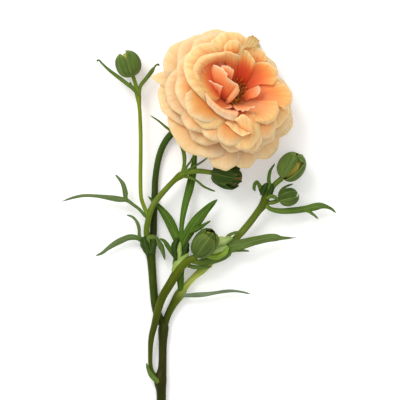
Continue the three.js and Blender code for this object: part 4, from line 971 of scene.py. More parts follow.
carpels = [turned(CARPEL_CONE, 20)]
for i in range(CARPELS):
    slope = math.radians(TOP_SLOPE + SLOPE_RANGE * math.sqrt((i + 0.5) / CARPELS))
    at = bloom_point(PIP_DOME[0] * math.sin(slope), GOLDEN_TURN * i,
                     EYE_FLOOR + DOME_FOOT + PIP_DOME[1] * math.cos(slope))
    out = at - bloom_point(0, 0, EYE_FLOOR + PIPS_POINT_FROM)
    carpels.append(ball(at, out, PIP_WIDTH, PIP_LENGTH, sides=6, bands=3,
                        tone=GRAIN_TONES * draw(300 + i, 1)))
piece("carpels", carpels, carpel_skin, "bloom_carpels")

# %% [markdown]
# ## Green tissue
#
# A ranunculus leaf is a soft, fairly matt blade with a paler rib and veins that run along it. Its
# underside is greyer, and a leaf that has turned over shows it. The stem has the same skin round
# fine ridges, dark near the cut and yellower where it is young. Sepals are leaf-like too, with a
# pale margin. One function paints them all: the ramp along the piece, streaks that make it lighter
# and darker, and a pale rib and margin by the distance from the middle. Real leaf veins are about
# 0.5 mm apart; here they are drawn 0.9 mm apart.

# %% A function for green tissue
LEAF_IOR = 1.45
LEAF_VEIN_SPACING = 0.9           # mm, coarser than the real 0.5
GREEN_STREAK_LENGTH = 8.0         # mm along the piece
GREENS_APART = 53.0               # noise lengths from one tone to the next
GREEN_SCATTER = (0.6, 1.2, 0.3)   # mm that red, green and blue light travel inside
RIB_COLOUR = 0.55                 # share of the rib's colour in its middle
NO_RIB = 0.0001                   # a width so small that no rib shows


def green_tissue(name, stops, second, rib, veins, run_mm, rib_width=0.04, margin=0.0,
                 roughness=0.5, scatter=0.08):
    material, tree, surface = new_material(name)
    base = toned_ramp(tree, surface, stops, second)
    grain = streaks(tree, surface, (veins, run_mm / GREEN_STREAK_LENGTH, GREENS_APART),
                    detail=3.0, roughness=0.55)
    light = node(tree, "ShaderNodeMapRange", {
        "Value": grain, "From Min": 0.3, "From Max": 0.7, "To Min": 0.74, "To Max": 1.22})
    veined = node(tree, "ShaderNodeVectorMath", {0: base, "Scale": light.outputs["Result"]},
                  operation="SCALE")
    from_rib = node(tree, "ShaderNodeMath", {0: surface["across"], 1: 0.5}, operation="SUBTRACT")
    off_rib = node(tree, "ShaderNodeMath", {0: from_rib.outputs[0]}, operation="ABSOLUTE")
    on_rib = node(tree, "ShaderNodeMapRange", {
        "Value": off_rib.outputs[0], "From Min": 0.0, "From Max": rib_width, "To Min": RIB_COLOUR,
        "To Max": 0.0})
    on_margin = node(tree, "ShaderNodeMapRange", {
        "Value": off_rib.outputs[0], "From Min": 0.44, "From Max": 0.5, "To Min": 0.0, "To Max": margin})
    pale_parts = node(tree, "ShaderNodeMath", {
        0: on_rib.outputs["Result"], 1: on_margin.outputs["Result"]}, operation="MAXIMUM")
    ribbed = node(tree, "ShaderNodeMix", {
        "Factor": pale_parts.outputs[0], "A": veined.outputs[0], "B": linear(rib)}, data_type="RGBA")
    finish_tissue(tree, ribbed.outputs["Result"], grain, 0.3, {
        "Roughness": roughness, "IOR": LEAF_IOR, "Specular IOR Level": 0.08,
        "Subsurface Weight": scatter, "Subsurface Radius": GREEN_SCATTER})
    return material


print("veins across a leaf of 4 mm:", round(4 / LEAF_VEIN_SPACING, 1))

# %% Leaf and sepal materials
leaf_blade = green_tissue("leaf_blade", [(0.0, "#72862E"), (0.15, "#607630"), (1.0, "#5A6C3A")],
                          second="#42620E", rib="#8C9C62", veins=4 / LEAF_VEIN_SPACING, run_mm=45)
leaf_underside = green_tissue("leaf_underside", [(0.0, "#426814"), (0.4, "#5A6C34"), (1.0, "#62724A")],
                              second="#76846A", rib="#8C9A6C", veins=4 / LEAF_VEIN_SPACING, run_mm=45)
sepal_skin = green_tissue("sepal_skin", [(0.0, "#76883A"), (0.3, "#607434"), (0.8, "#50662A"),
                                         (1.0, "#6A8038")],
                          second="#2C4214", rib="#7C8E4A", veins=8 / LEAF_VEIN_SPACING, run_mm=16,
                          rib_width=0.025, margin=0.6)
pale_bract = green_tissue("pale_bract", [(0.0, "#96A850"), (0.5, "#A2B46C"), (1.0, "#6E8C3A")],
                          second="#7C9A30", rib="#C4D094", veins=5 / LEAF_VEIN_SPACING, run_mm=14,
                          rib_width=0.02, margin=0.65)
young_petal = green_tissue("young_petal", [(0.0, "#7A8A2E"), (0.5, "#9A9236"), (1.0, "#BEB45A")],
                           second="#64502A", rib="#D0C878", veins=10, run_mm=14, rib_width=NO_RIB)
print("green materials:", *(m.name for m in (leaf_blade, leaf_underside, sepal_skin, pale_bract,
                                             young_petal)))

# %% [markdown]
# ## The stem and its branches
#
# The main stem is 5 mm thick at the cut and divides into thinner branches, each swollen where leaves
# grow. Each branch is a tube through a row of points with a radius at each. Fine ridges run along
# it, seven round the stem. A branch starts inside the one that bears it, so no seam shows.

# %% Values of the branches
STEM = {
    "main": [[-19, -97.4, 2.25, 2.45], [-19, -84, 2.2, 2.45], [-19.4, -78.4, 2.3, 3.2],
             [-18.5, -72.5, 2, 2.2], [-18.2, -60, 1.9, 2.1], [-17.8, -51.8, 2.2, 2.6],
             [-17.4, -50, 2.3, 2.1], [-17.1, -49, 2.4, 1.2]],
    "front": [[-20.6, -78.5, 2.4, 1.3], [-24, -73, 2.6, 1.1], [-24.5, -64.9, 3.2, 1.15],
              [-23.9, -56.7, 4.8, 1.5], [-22.3, -50.2, 6.4, 1.7], [-20.5, -42.6, 7.3, 1.9],
              [-18.2, -36.1, 7.7, 2.1], [-14.4, -29.6, 8.3, 2.2], [-10.1, -22.5, 9.4, 2.2],
              [-6.3, -18.6, 10.4, 2], [-1.4, -15.8, 11.2, 1.5]],
    "right": [[-17.2, -50.5, 2.3, 1.7], [-15.8, -45.9, 2.6, 1.7], [-12.8, -39.9, 2.8, 2],
              [-9.6, -34.9, 3, 2.6], [-6.8, -31, 3.1, 1.7], [-2.5, -26.4, 3.2, 1.5],
              [1.3, -23.1, 3.4, 1.9], [6.7, -18.2, 3.6, 1.7], [13.5, -11.8, 4, 1.7],
              [22.8, -2.3, 5, 1.8], [29.8, 6.8, 7, 1.8], [32.6, 10.8, 8.4, 2.2],
              [33.7, 16, 9.2, 1.8]],
    "left": [[-17.8, -51, 2.1, 2.2], [-20.6, -45.5, 2, 2.1], [-22, -40.5, 1.9, 2.05],
             [-23, -31, 1.8, 2], [-23.6, -22.5, 1.9, 2.05], [-24.2, -15.5, 2.3, 2.4],
             [-24.8, -11.5, 2.9, 3.3], [-25.2, -8.2, 3.2, 2.3]],
    "bloom": [[-24.2, -11, 2.2, 2.1], [-23.1, -5, 1.8, 1.85], [-22.8, 5, 1.7, 1.8],
              [-22.3, 14, 1.7, 1.7], [-22, 23, 1.8, 1.6], [-20.3, 33.5, 2.2, 1.6],
              [-18, 40, 2.6, 1.65], [-15, 44.5, 2.9, 1.7], [-11, 48, 3.1, 1.7],
              [-4.5, 52.5, 3.3, 1.7], [2.5, 57, 3.7, 1.75]],
    "nodding": [[-25.4, -9, 3.8, 1.6], [-26.4, -3.5, 5, 1.5], [-25.3, 3.5, 6.3, 1.5],
                [-23.5, 9, 7.2, 1.5], [-20.8, 13, 7.6, 1.45], [-17, 17.5, 7.9, 1.43],
                [-12.4, 22.3, 8.1, 1.4], [-9.2, 24.8, 8.4, 1.9], [-5.5, 26.3, 8.9, 1.4],
                [-0.5, 27, 9.4, 1.3], [7, 26.2, 10.1, 1.2]],
    "tall": [[-25.8, 5, 6.4, 1.1], [-27.5, 9, 7, 1.05], [-29, 13.5, 7.2, 1],
             [-29.4, 22, 7.2, 1], [-29.3, 36, 7.2, 1], [-29.4, 49, 7.3, 1],
             [-30, 60, 7.5, 1], [-30.7, 65.7, 7.7, 1.55], [-31.8, 70.5, 7.9, 1],
             [-33.2, 74.9, 8.1, 1]],
    "right_large": [[33.5, 14.8, 9.2, 1.5], [36, 17.5, 9.4, 1.3], [38, 20.3, 9.5, 1.3],
                    [41.6, 23.4, 9.6, 1.35]],
    "right_small": [[33.3, 11, 8.6, 1.2], [37.5, 11.4, 8.8, 1.1], [40.6, 12.8, 9, 1.1]],
}
NECK_HEIGHTS = [(-8.4, 1.85), (-5.2, 2.0), (-2.6, 2.4)]    # height below the bloom, and radius
STEM["neck"] = STEM["bloom"][-2:] + [
    [*bloom_point(0, 0, height), radius] for height, radius in NECK_HEIGHTS]

print("branches:", *STEM)

# %% Colours of each branch from its root to its end
BRANCH_COLOURS = {
    "main": ["#283206", "#282C0A", "#2E360A", "#38440C"],
    "front": ["#4A5A0E", "#3C4608", "#465406", "#5A6A10"],
    "right": ["#304006", "#506210", "#B2BE54", "#86963A", "#566A1E", "#425208"],
    "left": ["#2C3A08", "#34460A", "#364A0E", "#44581A"],
    "bloom": ["#202C0C", "#324414", "#3A5418", "#36501A"],
    "nodding": ["#5E7818", "#66782A", "#5E7216", "#6A8430"],
    "tall": ["#7C9030", "#748620", "#7A8C26", "#5E7C24"],
    "right_large": ["#54701C", "#5E7626"],
    "right_small": ["#62782A", "#5A7428"],
    "neck": ["#36501A", "#36501A"],
}
print("all branches have colours:", BRANCH_COLOURS.keys() == STEM.keys())

# %% Stem pieces
def branch_skin(branch):
    colours = BRANCH_COLOURS[branch]
    stops = [(i / (len(colours) - 1), colour) for i, colour in enumerate(colours)]
    return green_tissue("stem_skin_" + branch, stops, second="#5A4A20", rib="#9AAA5A", veins=9,
                        run_mm=60, rib_width=NO_RIB, roughness=0.42, scatter=0.05)


for branch, knots in STEM.items():
    stalk = tube(knots, sides=28, grooves=7, groove_depth=0.03, tone=0.08)
    piece("stem_" + branch, [stalk], branch_skin(branch), "stem")

# %% [markdown]
# ## Leaves and bracts
#
# The leaves are cut into narrow lobes with fine points. Each lobe is a blade: a smooth line with a
# width at each point, arched over its rib and wavy at its edges. Nearly all points and widths are
# those of the solids, so each leaf stays where its solid is, and only its finish gets finer: 0.36
# mm thick, with many more points along and across.

# %% Values of the leaves at the left and centre nodes
LEAVES = {
    "leaf_left_forked": [
        [[-25.6, 3.4, 6.6, 1.4], [-27.2, 4.6, 7, 1.4], [-29.7, 7.6, 7.2, 1.4], [-33, 10.1, 7.1, 1.5],
         [-36.4, 12.4, 6.9, 2], [-40, 12.9, 6.6, 2.6], [-43.8, 13.5, 6.2, 2.7],
         [-51.3, 14.5, 5.4, 1.7], [-57.9, 14.7, 4.6, 1.4], [-63.3, 13.7, 3.8, 1.2],
         [-69.1, 11.8, 3, 0.5]],
        [[-36.2, 11.8, 6.9, 1.4], [-36.9, 14.2, 6.9, 2], [-37.2, 17, 7, 2.5],
         [-38.2, 20.5, 7.2, 2], [-40, 23, 7.2, 1.4], [-42, 25.2, 7, 0.5]]],
    "leaf_left_lower": [
        [[-26.5, -9.8, 5, 1.8], [-28.5, -8.3, 5.2, 2], [-31, -6.6, 5.1, 2.2],
         [-35.1, -6.3, 5, 2.9], [-38, -7.3, 4.8, 3.1], [-42.2, -9.4, 4.4, 2.6],
         [-45.9, -11.9, 4, 2], [-48.8, -14.2, 3.4, 1.4], [-52.1, -15.6, 3, 0.5]],
        [[-28.8, -8.6, 5.4, 1.4], [-29.9, -5.5, 6.4, 1.5], [-30.2, -1.5, 6.8, 1.6],
         [-31.4, 1.8, 6.7, 1.4], [-33.5, 4, 6.4, 1.1], [-36.4, 5, 6, 0.5]]],
    "leaf_left_drooping": [
        [[-25.8, -9.4, 6, 1.8], [-25.2, -6.4, 7.1, 2.1], [-22.3, -6.5, 6.9, 2.4],
         [-20.2, -9, 6.2, 2.6], [-18.5, -12.3, 5.3, 2.3], [-17.1, -17.7, 4.2, 0.6]]],
    "leaf_centre_lobed": [
        [[-7.6, -18.5, 8.2, 3], [-9.4, -15, 8.4, 4.4], [-9.8, -11.5, 8.6, 5.2],
         [-10.6, -8, 8.6, 4.6], [-12.5, -3.5, 8, 4.6], [-15, 2, 6.8, 4.4], [-18, 6.5, 5.6, 3.7],
         [-21, 10, 4.95, 2.4], [-23.6, 12.5, 4.75, 1.4], [-25.6, 14.3, 4.75, 0.5]],
        [[-9.2, -12, 8.8, 2.6], [-9, -6.5, 8.8, 2.4], [-8.5, 1.5, 8, 2.3], [-7, 10, 6.8, 3.2],
         [-5, 17.5, 5.7, 4.2], [-3.3, 25, 5.3, 3.4], [-2.3, 32.5, 5.5, 2.5], [-1.8, 39.5, 6, 1.8],
         [-2, 45, 6.5, 0.5]],
        [[-9, -12, 9, 2.6], [-7.2, -7.5, 9.2, 4], [-3.8, -1.5, 8.6, 5.7], [0.5, 4, 7.6, 4.8],
         [4.5, 8.5, 7, 3.6], [7.5, 11.3, 6.8, 1.8], [9.3, 12.8, 6.8, 0.5]],
        [[-4.5, -3.6, 9, 2], [-1.2, -2.2, 8.9, 2.2], [2.2, -0.2, 8.6, 1.7], [5.8, 2.1, 8.3, 0.5]],
        [[-8.2, -17.4, 8.4, 1.8], [-10.8, -16.6, 8.3, 1.9], [-13.2, -14.4, 8.2, 2.1],
         [-15.7, -10.6, 8.2, 2.1], [-17.6, -8, 8.3, 1.6], [-19.8, -6.9, 8.4, 0.6]]],
    "leaf_centre_hidden": [
        [[-9.2, -34.4, 5.2, 2.6], [-9.3, -30, 5.2, 3], [-9.5, -25, 5.4, 4], [-10, -20, 5.5, 6.2],
         [-10, -15, 5.6, 5], [-9.6, -10, 5.6, 0.8]]],
    "leaf_right_long": [
        [[-3.2, -18.2, 9.4, 2.4], [0.5, -18.8, 8.2, 3], [5.5, -17.6, 7.7, 4.6],
         [10.5, -13.8, 7.8, 9], [13.4, -11.2, 8.2, 10], [16.8, -10.2, 8.8, 6.4],
         [21, -9.8, 9, 5], [28, -8, 8.7, 4.4], [35.5, -6.5, 8, 4.2], [38.8, -6.4, 7.8, 3.4],
         [41, -6.6, 7.6, 2], [48.8, -6.5, 7, 0.5]],
        [[12, -13.4, 8, 2], [16, -13, 8.1, 1.9], [20.2, -12.7, 8, 1.6], [25.3, -13.2, 7.6, 0.5]],
        [[12.6, -8, 8.4, 2], [15, -5.4, 8.3, 1.7], [18, -3.9, 8.1, 1.3], [21, -3.2, 7.8, 0.5]]],
    "bract_centre_bud": [
        [[-5.6, -20.4, 9.2, 1.8], [-2.2, -21.2, 8.8, 2], [2.5, -21.3, 8.6, 1.6], [6.3, -21, 8.4, 0.5]]],
}
print("leaves of these nodes:", *LEAVES)

# %% Values of the other leaves
LEAVES.update({
    "leaf_tall_forked": [
        [[-8.6, 25.6, 9.9, 1.6], [-7.6, 29, 9.8, 1.6], [-7.3, 33.4, 9.5, 2], [-8.2, 38, 9.2, 1.7],
         [-11, 43.5, 8.8, 1.4], [-13.8, 46.8, 8.6, 1.2], [-17.5, 49.8, 8.4, 1],
         [-20.7, 52.5, 8.2, 0.8], [-24.4, 54.9, 8, 0.5]],
        [[-7.6, 26.6, 9.9, 1.2], [-6, 29.4, 9.9, 1.1], [-4.3, 31.8, 9.7, 0.8], [-3.3, 34, 9.4, 0.5]],
        [[-8.2, 25.6, 10.3, 1.2], [-4.6, 28.2, 10.3, 1], [-0.5, 30.4, 9.7, 0.9], [4.5, 33.9, 8.8, 0.5]]],
    "leaf_under_nodding_bud": [
        [[-8.4, 24.2, 9.8, 1.2], [-5, 23.8, 9.2, 1.2], [-1, 22, 9, 1.1], [2.2, 19.4, 8.6, 1],
         [5.5, 17.8, 8, 0.9], [8.2, 16.8, 7.6, 0.5]]],
    "leaf_lower_right": [
        [[-9, -35.4, 4.6, 1.8], [-6.3, -35.5, 4.8, 1.9], [-2, -35.3, 4.6, 2.3], [3, -35, 4.3, 2.1],
         [8, -34.3, 4, 1.7], [13, -33.5, 3.8, 1.5], [17, -33.3, 3.6, 1.3], [21.5, -33.8, 3.2, 1],
         [25.8, -34.8, 2.6, 0.5]]],
    "bract_top_left_outer": [
        [[-30.6, 65.2, 9.5, 1.5], [-32.6, 67.7, 9.3, 1.6], [-37.9, 72.2, 8, 1.8],
         [-45.1, 77.8, 6.8, 1.4], [-49, 81.4, 6.2, 0.9], [-50.2, 82.7, 6, 0.8],
         [-51, 82.8, 6, 0.7], [-51.3, 82, 5.9, 0.5]],
        [[-31.2, 66.2, 9.5, 1.3], [-33.4, 69.2, 9.6, 1.2], [-34.8, 71.8, 9.6, 0.5]]],
    "bract_top_left_inner": [
        [[-29.9, 65.6, 9, 1.4], [-29.4, 69.6, 8.9, 1.6], [-26.3, 73.8, 8.4, 2],
         [-23.6, 77.4, 8, 1.8], [-22.4, 79.2, 7.6, 0.9], [-21.3, 80.4, 7.4, 0.8],
         [-20.4, 80.6, 7.4, 0.7], [-20, 79.8, 7.3, 0.5]]],
    "leaf_right_upper": [
        [[34.2, 15.6, 10.4, 1.6], [35.3, 19, 10.9, 1.7], [35, 23.2, 10.8, 1.8],
         [35.7, 27, 10.4, 1.4], [38, 30.8, 9.9, 0.5]],
        [[34, 15.4, 10.5, 1.6], [31.8, 16.8, 10.7, 2.3], [30.4, 19.4, 10.7, 2], [29.4, 22, 10.5, 0.6]],
        [[29.9, 20.8, 10.9, 1.2], [28.9, 21.6, 11.4, 1.6], [28, 20.4, 11.5, 1.7],
         [27.6, 18.4, 11.2, 1.5], [28.2, 17, 10.8, 0.6]]],
    "leaf_right_lower": [
        [[33.6, 9.6, 10.2, 1.8], [36, 8, 9.4, 2.2], [40.5, 7, 8.6, 2.7], [47, 7.2, 7.8, 2.9],
         [53, 8, 7, 3.3], [58, 9, 6.4, 3.8], [61.4, 9.6, 6, 2.8], [64.5, 9, 5.6, 1.8],
         [67, 7.8, 5.2, 1.2], [68.9, 6, 4.8, 0.5]],
        [[53, 7.6, 7, 1.6], [55.5, 6.6, 6.7, 1.5], [57.5, 5.2, 6.4, 1.2], [59.9, 3.1, 6, 0.5]]],
    "bract_right_front": [
        [[33.8, 13.4, 11.3, 1.6], [36.4, 14.4, 11.6, 1.9], [38.6, 13.6, 11.5, 1.5], [40, 12.6, 11.2, 0.6]]],
    "bract_right_small": [
        [[40.2, 13.6, 9.9, 1.2], [40.7, 16.4, 8.6, 1.3], [43, 18.9, 7.6, 1.2], [47.2, 20.6, 7, 0.5]]],
    "bract_lowest": [
        [[-20.2, -79.2, 5.2, 2.4], [-23.4, -76.4, 5.4, 2.4], [-25.5, -72.8, 5.3, 1.6],
         [-26.4, -69.6, 5.1, 0.6]]],
})
TURNED_LEAVES = ("leaf_left_forked", "leaf_left_lower", "leaf_lower_right")    # underside up
LEAF_TONES = {"leaf_lower_right": 0.8, "leaf_centre_lobed": 0.8, "leaf_centre_hidden": 0.9,
              "leaf_left_drooping": 0.1, "leaf_right_upper": 0.6, "leaf_left_lower": 0.1,
              "leaf_right_long": 0.05, "leaf_left_forked": 0.1}
print("all leaves:", len(LEAVES), "with", sum(len(blades) for blades in LEAVES.values()), "blades")

# %% A function for a blade
LEAF_THICKNESS = 0.36             # mm
BLADE_STEPS, BLADE_COLUMNS = 8, 9    # steps for each point of its line, and points across
LEAF_ARCH = 0.14                  # share of its width that a blade's rib stands above its edges
RIB_RISE, RIB_HALF_WIDTH = 0.09, 0.2    # mm, and share of half the blade's width
POINT_SHARE, POINT_WIDTH = 0.04, 0.25   # share of the length in its point, and the tip's width
WIDTH_WAVE, WIDTH_WAVES = 0.06, 3       # share of the width, and waves from root to tip
EDGE_WAVE, EDGE_WAVES = 0.10, 2.2       # the same for the edges, up and down


def blade(knots, number, tone, arch=LEAF_ARCH):
    """One lobe of a leaf through rows of (x, y, z, width)."""
    line, width = smooth_line(knots, BLADE_STEPS * len(knots))
    aside, raised = directions(line)
    u, v = shares((len(line), BLADE_COLUMNS))
    taper = np.clip((1 - u) / POINT_SHARE, POINT_WIDTH, 1)
    phases = [2 * np.pi * draw(number, use) for use in (1, 2)]
    width = width[:, None] * taper * (1 + WIDTH_WAVE * waves(u, WIDTH_WAVES, phases[0]))
    wave = EDGE_WAVE * width * waves(u, EDGE_WAVES, phases[1]) * np.sin(np.pi * u)
    rise = -arch * width * v ** 2 + wave * v - RIB_RISE * np.exp(-(v / RIB_HALF_WIDTH) ** 2)
    points = (line[:, None] - aside[:, None] * (width * v / 2)[..., None]
              + raised[:, None] * rise[..., None])
    return sheet(points, LEAF_THICKNESS, tone)


print("a blade of five points has", 2 * 5 * BLADE_STEPS * BLADE_COLUMNS, "points")

# %% Leaf pieces
for leaf_number, (name, blades) in enumerate(LEAVES.items()):
    tone = LEAF_TONES.get(name, 0.3)
    shells = [blade(knots, 400 + 10 * leaf_number + i, tone) for i, knots in enumerate(blades)]
    skin = leaf_underside if name in TURNED_LEAVES else leaf_blade
    piece("green_" + name, shells, skin, name)

# %% [markdown]
# ## Sheaths and pale bracts
#
# Where a leaf starts, its base widens into a sheath that clasps the stem. Sheaths are the same
# blades, bent far more across, so that they close round what they hold. Those at the left, centre
# and right nodes are dark: their dark tone is painted shade of the hollow where they clasp the
# stem. The ones beside the centre bud have unfolded only lately: they are pale, almost white at the
# margin.

# %% Values of the sheaths
# The tones of 0.9 and 1.0 on the sheaths of sepal skin are painted shade of the hollow round the stem.
SHEATHS = [
    dict(name="left_node", node="leaf_left_drooping", tone=0.9, young=False, blades=[
        [[-25.6, -14.6, 6.3, 2.4], [-26.6, -11.4, 6.9, 4.4], [-27.4, -8.2, 7.2, 4.6],
         [-28, -6, 7.2, 2.4]],
        [[-24.6, -14.4, 6.4, 2.2], [-23.4, -11.6, 7, 3.4], [-22.8, -9, 7.2, 3],
         [-22.4, -6.8, 7.1, 1.6]]]),
    dict(name="centre_node", node="leaf_centre_lobed", tone=1.0, young=False, blades=[
        [[-10.2, -18.4, 10, 2.4], [-12, -14.6, 10.6, 3.2], [-12.2, -10.4, 10.8, 3.2],
         [-10.6, -6.4, 10.6, 1.6]],
        [[-7.6, -16.8, 10.6, 2.4], [-7, -13.4, 11, 3.6], [-6.2, -10.6, 11, 2.6],
         [-5.6, -8.6, 10.8, 1.2]]]),
    dict(name="centre_young", node="leaf_centre_lobed", tone=0.3, young=True, blades=[
        [[-10, -18.6, 10.2, 2], [-9.8, -14.8, 10.7, 2.6], [-9.6, -11, 10.9, 2],
         [-9.4, -8.4, 10.7, 0.8]],
        [[-12.6, -23.6, 10.2, 2.4], [-11.4, -20.4, 10.8, 3.2], [-8.4, -17.2, 11.6, 2.2],
         [-5.2, -14.4, 12.2, 1]]]),
    dict(name="by_centre_bud", node="leaf_right_long", tone=0.0, young=True, blades=[
        [[4.6, -11, 10.4, 3], [8.2, -9, 11.4, 5], [12, -8, 11.6, 4.4],
         [15.2, -7, 11.2, 2.4], [17, -6.6, 10.8, 0.6]],
        [[4, -14, 10.2, 2.6], [7.6, -13, 10.9, 3.8], [11.4, -12, 11.3, 3.4],
         [14.6, -10.8, 11.2, 1.6]]]),
    dict(name="below_centre_bud", node="leaf_right_long", tone=1.0, young=True, blades=[
        [[3.2, -15, 10.4, 1.6], [6.4, -16, 10.8, 2.4], [10.2, -15.6, 11, 2.6],
         [13.2, -13.6, 11, 2], [14.8, -11.2, 10.9, 0.8]]]),
    dict(name="right_node", node="leaf_right_upper", tone=1.0, young=False, blades=[
        [[31.8, 14.8, 11.2, 2.2], [32.2, 17.2, 11.8, 3.4], [33.2, 19.4, 11.8, 2.6],
         [34.4, 21, 11.4, 0.9]],
        [[34.4, 14.6, 11.2, 2], [35.8, 16.6, 11.6, 2.8], [36.6, 18.8, 11.5, 2],
         [36.6, 20.8, 11.1, 0.7]]]),
]
print("sheaths:", *(sheath["name"] for sheath in SHEATHS))

# %% Sheath pieces
SHEATH_ARCH = 0.42                # share of its width, three times that of a leaf
for i, sheath in enumerate(SHEATHS):
    shells = [blade(knots, 560 + 4 * i + k, sheath["tone"], SHEATH_ARCH)
              for k, knots in enumerate(sheath["blades"])]
    skin = pale_bract if sheath["young"] else sepal_skin
    piece("sheath_" + sheath["name"], shells, skin, sheath["node"])

# %% [markdown]
# ## Buds
#
# A closed bud is a ball of petals, still green and wrapped round each other like a closed fan, in
# leathery sepals. Each sepal is a broad spoon that follows the ball from its base almost to its
# tip, and overlaps its neighbours. No two buds are closed alike: where two sepals part, the
# yellow-green petals show, and an old tip curls back. So each bud lists its sepals: the turn of the
# sepal's middle round the bud from the side that faces up, half the angle it covers, how far it
# reaches towards the tip, how far it stands off, and its tone from mid green to dark. Two buds also
# have flaps, sepals that have folded back with the tip towards the stalk: their turn, half angle,
# where they start and end along the bud, and tone. The nodding bud has begun to wilt, so it is
# lumpy, and its petals are brown.

# %% Values of the buds
# The last value of each sepal, its tone, is partly the bud's own green and partly painted shade: sepals
# that turn down towards the table, with turns near 180, get the darker tones.
BUDS = {
    "top_left": dict(at=[-35.5, 80.5, 8.3], tip=[-0.34, 0.94, 0.05], radius=6.1, half=6.4, sepals=[
        (180, 60, 0.80, 0.0, 0.6), (-125, 52, 0.86, 0.1, 0.5), (118, 52, 0.90, 0.1, 0.4),
        (-44, 56, 0.88, 0.3, 0.15), (46, 53, 0.93, 0.5, 0.1)]),
    "nodding": dict(at=[14.5, 24.6, 10.2], tip=[0.98, -0.2, 0.0], radius=6.2, half=8.2, lumps=0.8,
                    brown=0.9, sepals=[
        (180, 60, 0.80, -0.2, 1.0), (-120, 50, 0.72, 0.0, 1.0), (120, 50, 0.76, 0.0, 0.9),
        (-30, 40, 0.86, -0.7, 1.0), (40, 34, 0.90, -0.8, 1.0), (-64, 52, 0.68, 0.1, 0.9),
        (80, 50, 0.66, 0.3, 0.7), (6, 50, 0.64, 0.5, 0.8)]),
    "right_large": dict(at=[46.3, 29.0, 9.8], tip=[0.64, 0.77, 0.05], radius=6.5, half=7.4, sepals=[
        (180, 60, 0.80, 0.0, 0.5), (-135, 45, 0.92, 0.1, 0.5), (130, 40, 0.85, 0.1, 0.4),
        (74, 44, 0.90, 0.3, 0.1), (-56, 54, 0.84, 0.5, 0.0), (-12, 20, 1.0, 0.4, 0.0)],
        flaps=[(20, 46, 0.98, 0.72, 0.0)]),
    "right_small": dict(at=[44.6, 14.0, 9.2], tip=[0.96, 0.28, 0.0], radius=4.3, half=4.8, sepals=[
        (180, 60, 0.80, 0.0, 0.5), (-120, 55, 0.88, 0.1, 0.5), (115, 55, 0.88, 0.1, 0.4),
        (-30, 62, 0.93, 0.2, 0.55), (52, 46, 1.0, 0.4, 0.2)]),
    "centre": dict(at=[2.8, -9.6, 11.8], tip=[0.57, 0.82, 0.1], radius=6.0, half=7.6, sepals=[
        (180, 60, 0.80, 0.0, 0.7), (-125, 50, 0.95, -0.1, 0.8), (128, 46, 0.88, 0.1, 0.4),
        (-62, 48, 0.80, 0.3, 0.6), (84, 24, 0.90, 0.0, 0.1), (6, 50, 0.86, 0.5, 0.5)],
        flaps=[(0, 52, 0.70, 0.12, 0.4), (-150, 60, 0.9, 0.6, 1.0)]),
}
print("buds:", *BUDS)

# %% Functions for places on a bud
BUD_SQUARENESS = 0.88             # below 1 a bud is fuller than a ball near its ends


def fullness(polar):
    return np.clip(np.sin(polar), 0, 1) ** BUD_SQUARENESS


def on_bud(bud, off, polar, turn, width=fullness):
    """A place off a bud's ball; at turn 0 it lies on the side that faces up."""
    axis = unit(np.array(bud["tip"], float))
    up = unit(UP - axis * axis[2])
    aside = np.cross(axis, up)
    radius, turn, height = np.broadcast_arrays(
        (bud["radius"] + off) * width(polar), turn, -(bud["half"] + off) * np.cos(polar))
    return (np.array(bud["at"]) + (radius * np.cos(turn))[..., None] * up
            + (radius * np.sin(turn))[..., None] * aside + height[..., None] * axis)


print("the centre bud ends at", on_bud(BUDS["centre"], 0, np.pi, 0).round(1))

# %% Functions for sepals
SEPAL_THICKNESS = 0.5             # mm
SEPAL_START, SEPAL_END = 0.03, 0.985    # shares of the way from pole to pole that sepals keep to
SEPAL_ROUNDING = 0.16             # share of that way by which a sepal's sides are shorter
SEPAL_NARROWING = 0.3             # share of its width that is gone at its tip
KEEL, KEEL_WIDTH = 0.16, 0.12     # mm, and share of half the sepal's width
TIP_STANDS_OFF = 0.35             # mm
SEPAL_DRAWS = dict(reach=(1, 0.02), turn=(2, 0.04), tip=(5, 0.25), tone=(6, 0.08))
FLAP_STANDS_OFF, FLAP_CURL, FLAP_BEND, FLAP_KEEL = 0.75, 0.5, 0.3, 0.15    # mm
SEPAL_GRID, FLAP_GRID = (24, 19), (22, 17)    # points along and across
FLAP_OUTLINE = [(0, 0.75), (0.25, 1.0), (0.5, 0.95), (0.75, 0.66), (0.92, 0.3), (1, 0.04)]


def ridge(v):
    """A narrow keel along the middle of a sepal."""
    return np.exp(-(v / KEEL_WIDTH) ** 2)


def sepal(bud, number, values):
    """A spoon that follows the bud, with a keel, a soft swelling and a tip that stands off."""
    turn, half, reach, stand, tone = values
    by = differences(number, SEPAL_DRAWS)
    u, v = shares(SEPAL_GRID)
    end = reach + by["reach"] - SEPAL_ROUNDING * np.abs(v) ** 2.2
    polar = np.pi * (SEPAL_START + (np.minimum(end, SEPAL_END) - SEPAL_START) * u)
    turn = math.radians(turn) + math.radians(half) * v * (1 - SEPAL_NARROWING * u ** 3) + by["turn"]
    phases = [2 * np.pi * draw(number, use) for use in (3, 4)]
    swell = bud.get("lumps", 0.1) * np.sin(3.1 * v + phases[0]) * waves(u, 0.9, phases[1])
    tip = (TIP_STANDS_OFF + by["tip"]) * u ** 6
    off = ((stand + KEEL * ridge(v) * u + swell) * np.sin(np.pi * np.clip(u, 0, 0.5)) + tip
           - SEPAL_THICKNESS / 2)
    return sheet(on_bud(bud, off, polar, turn), SEPAL_THICKNESS, shaded(tone, by["tone"]))


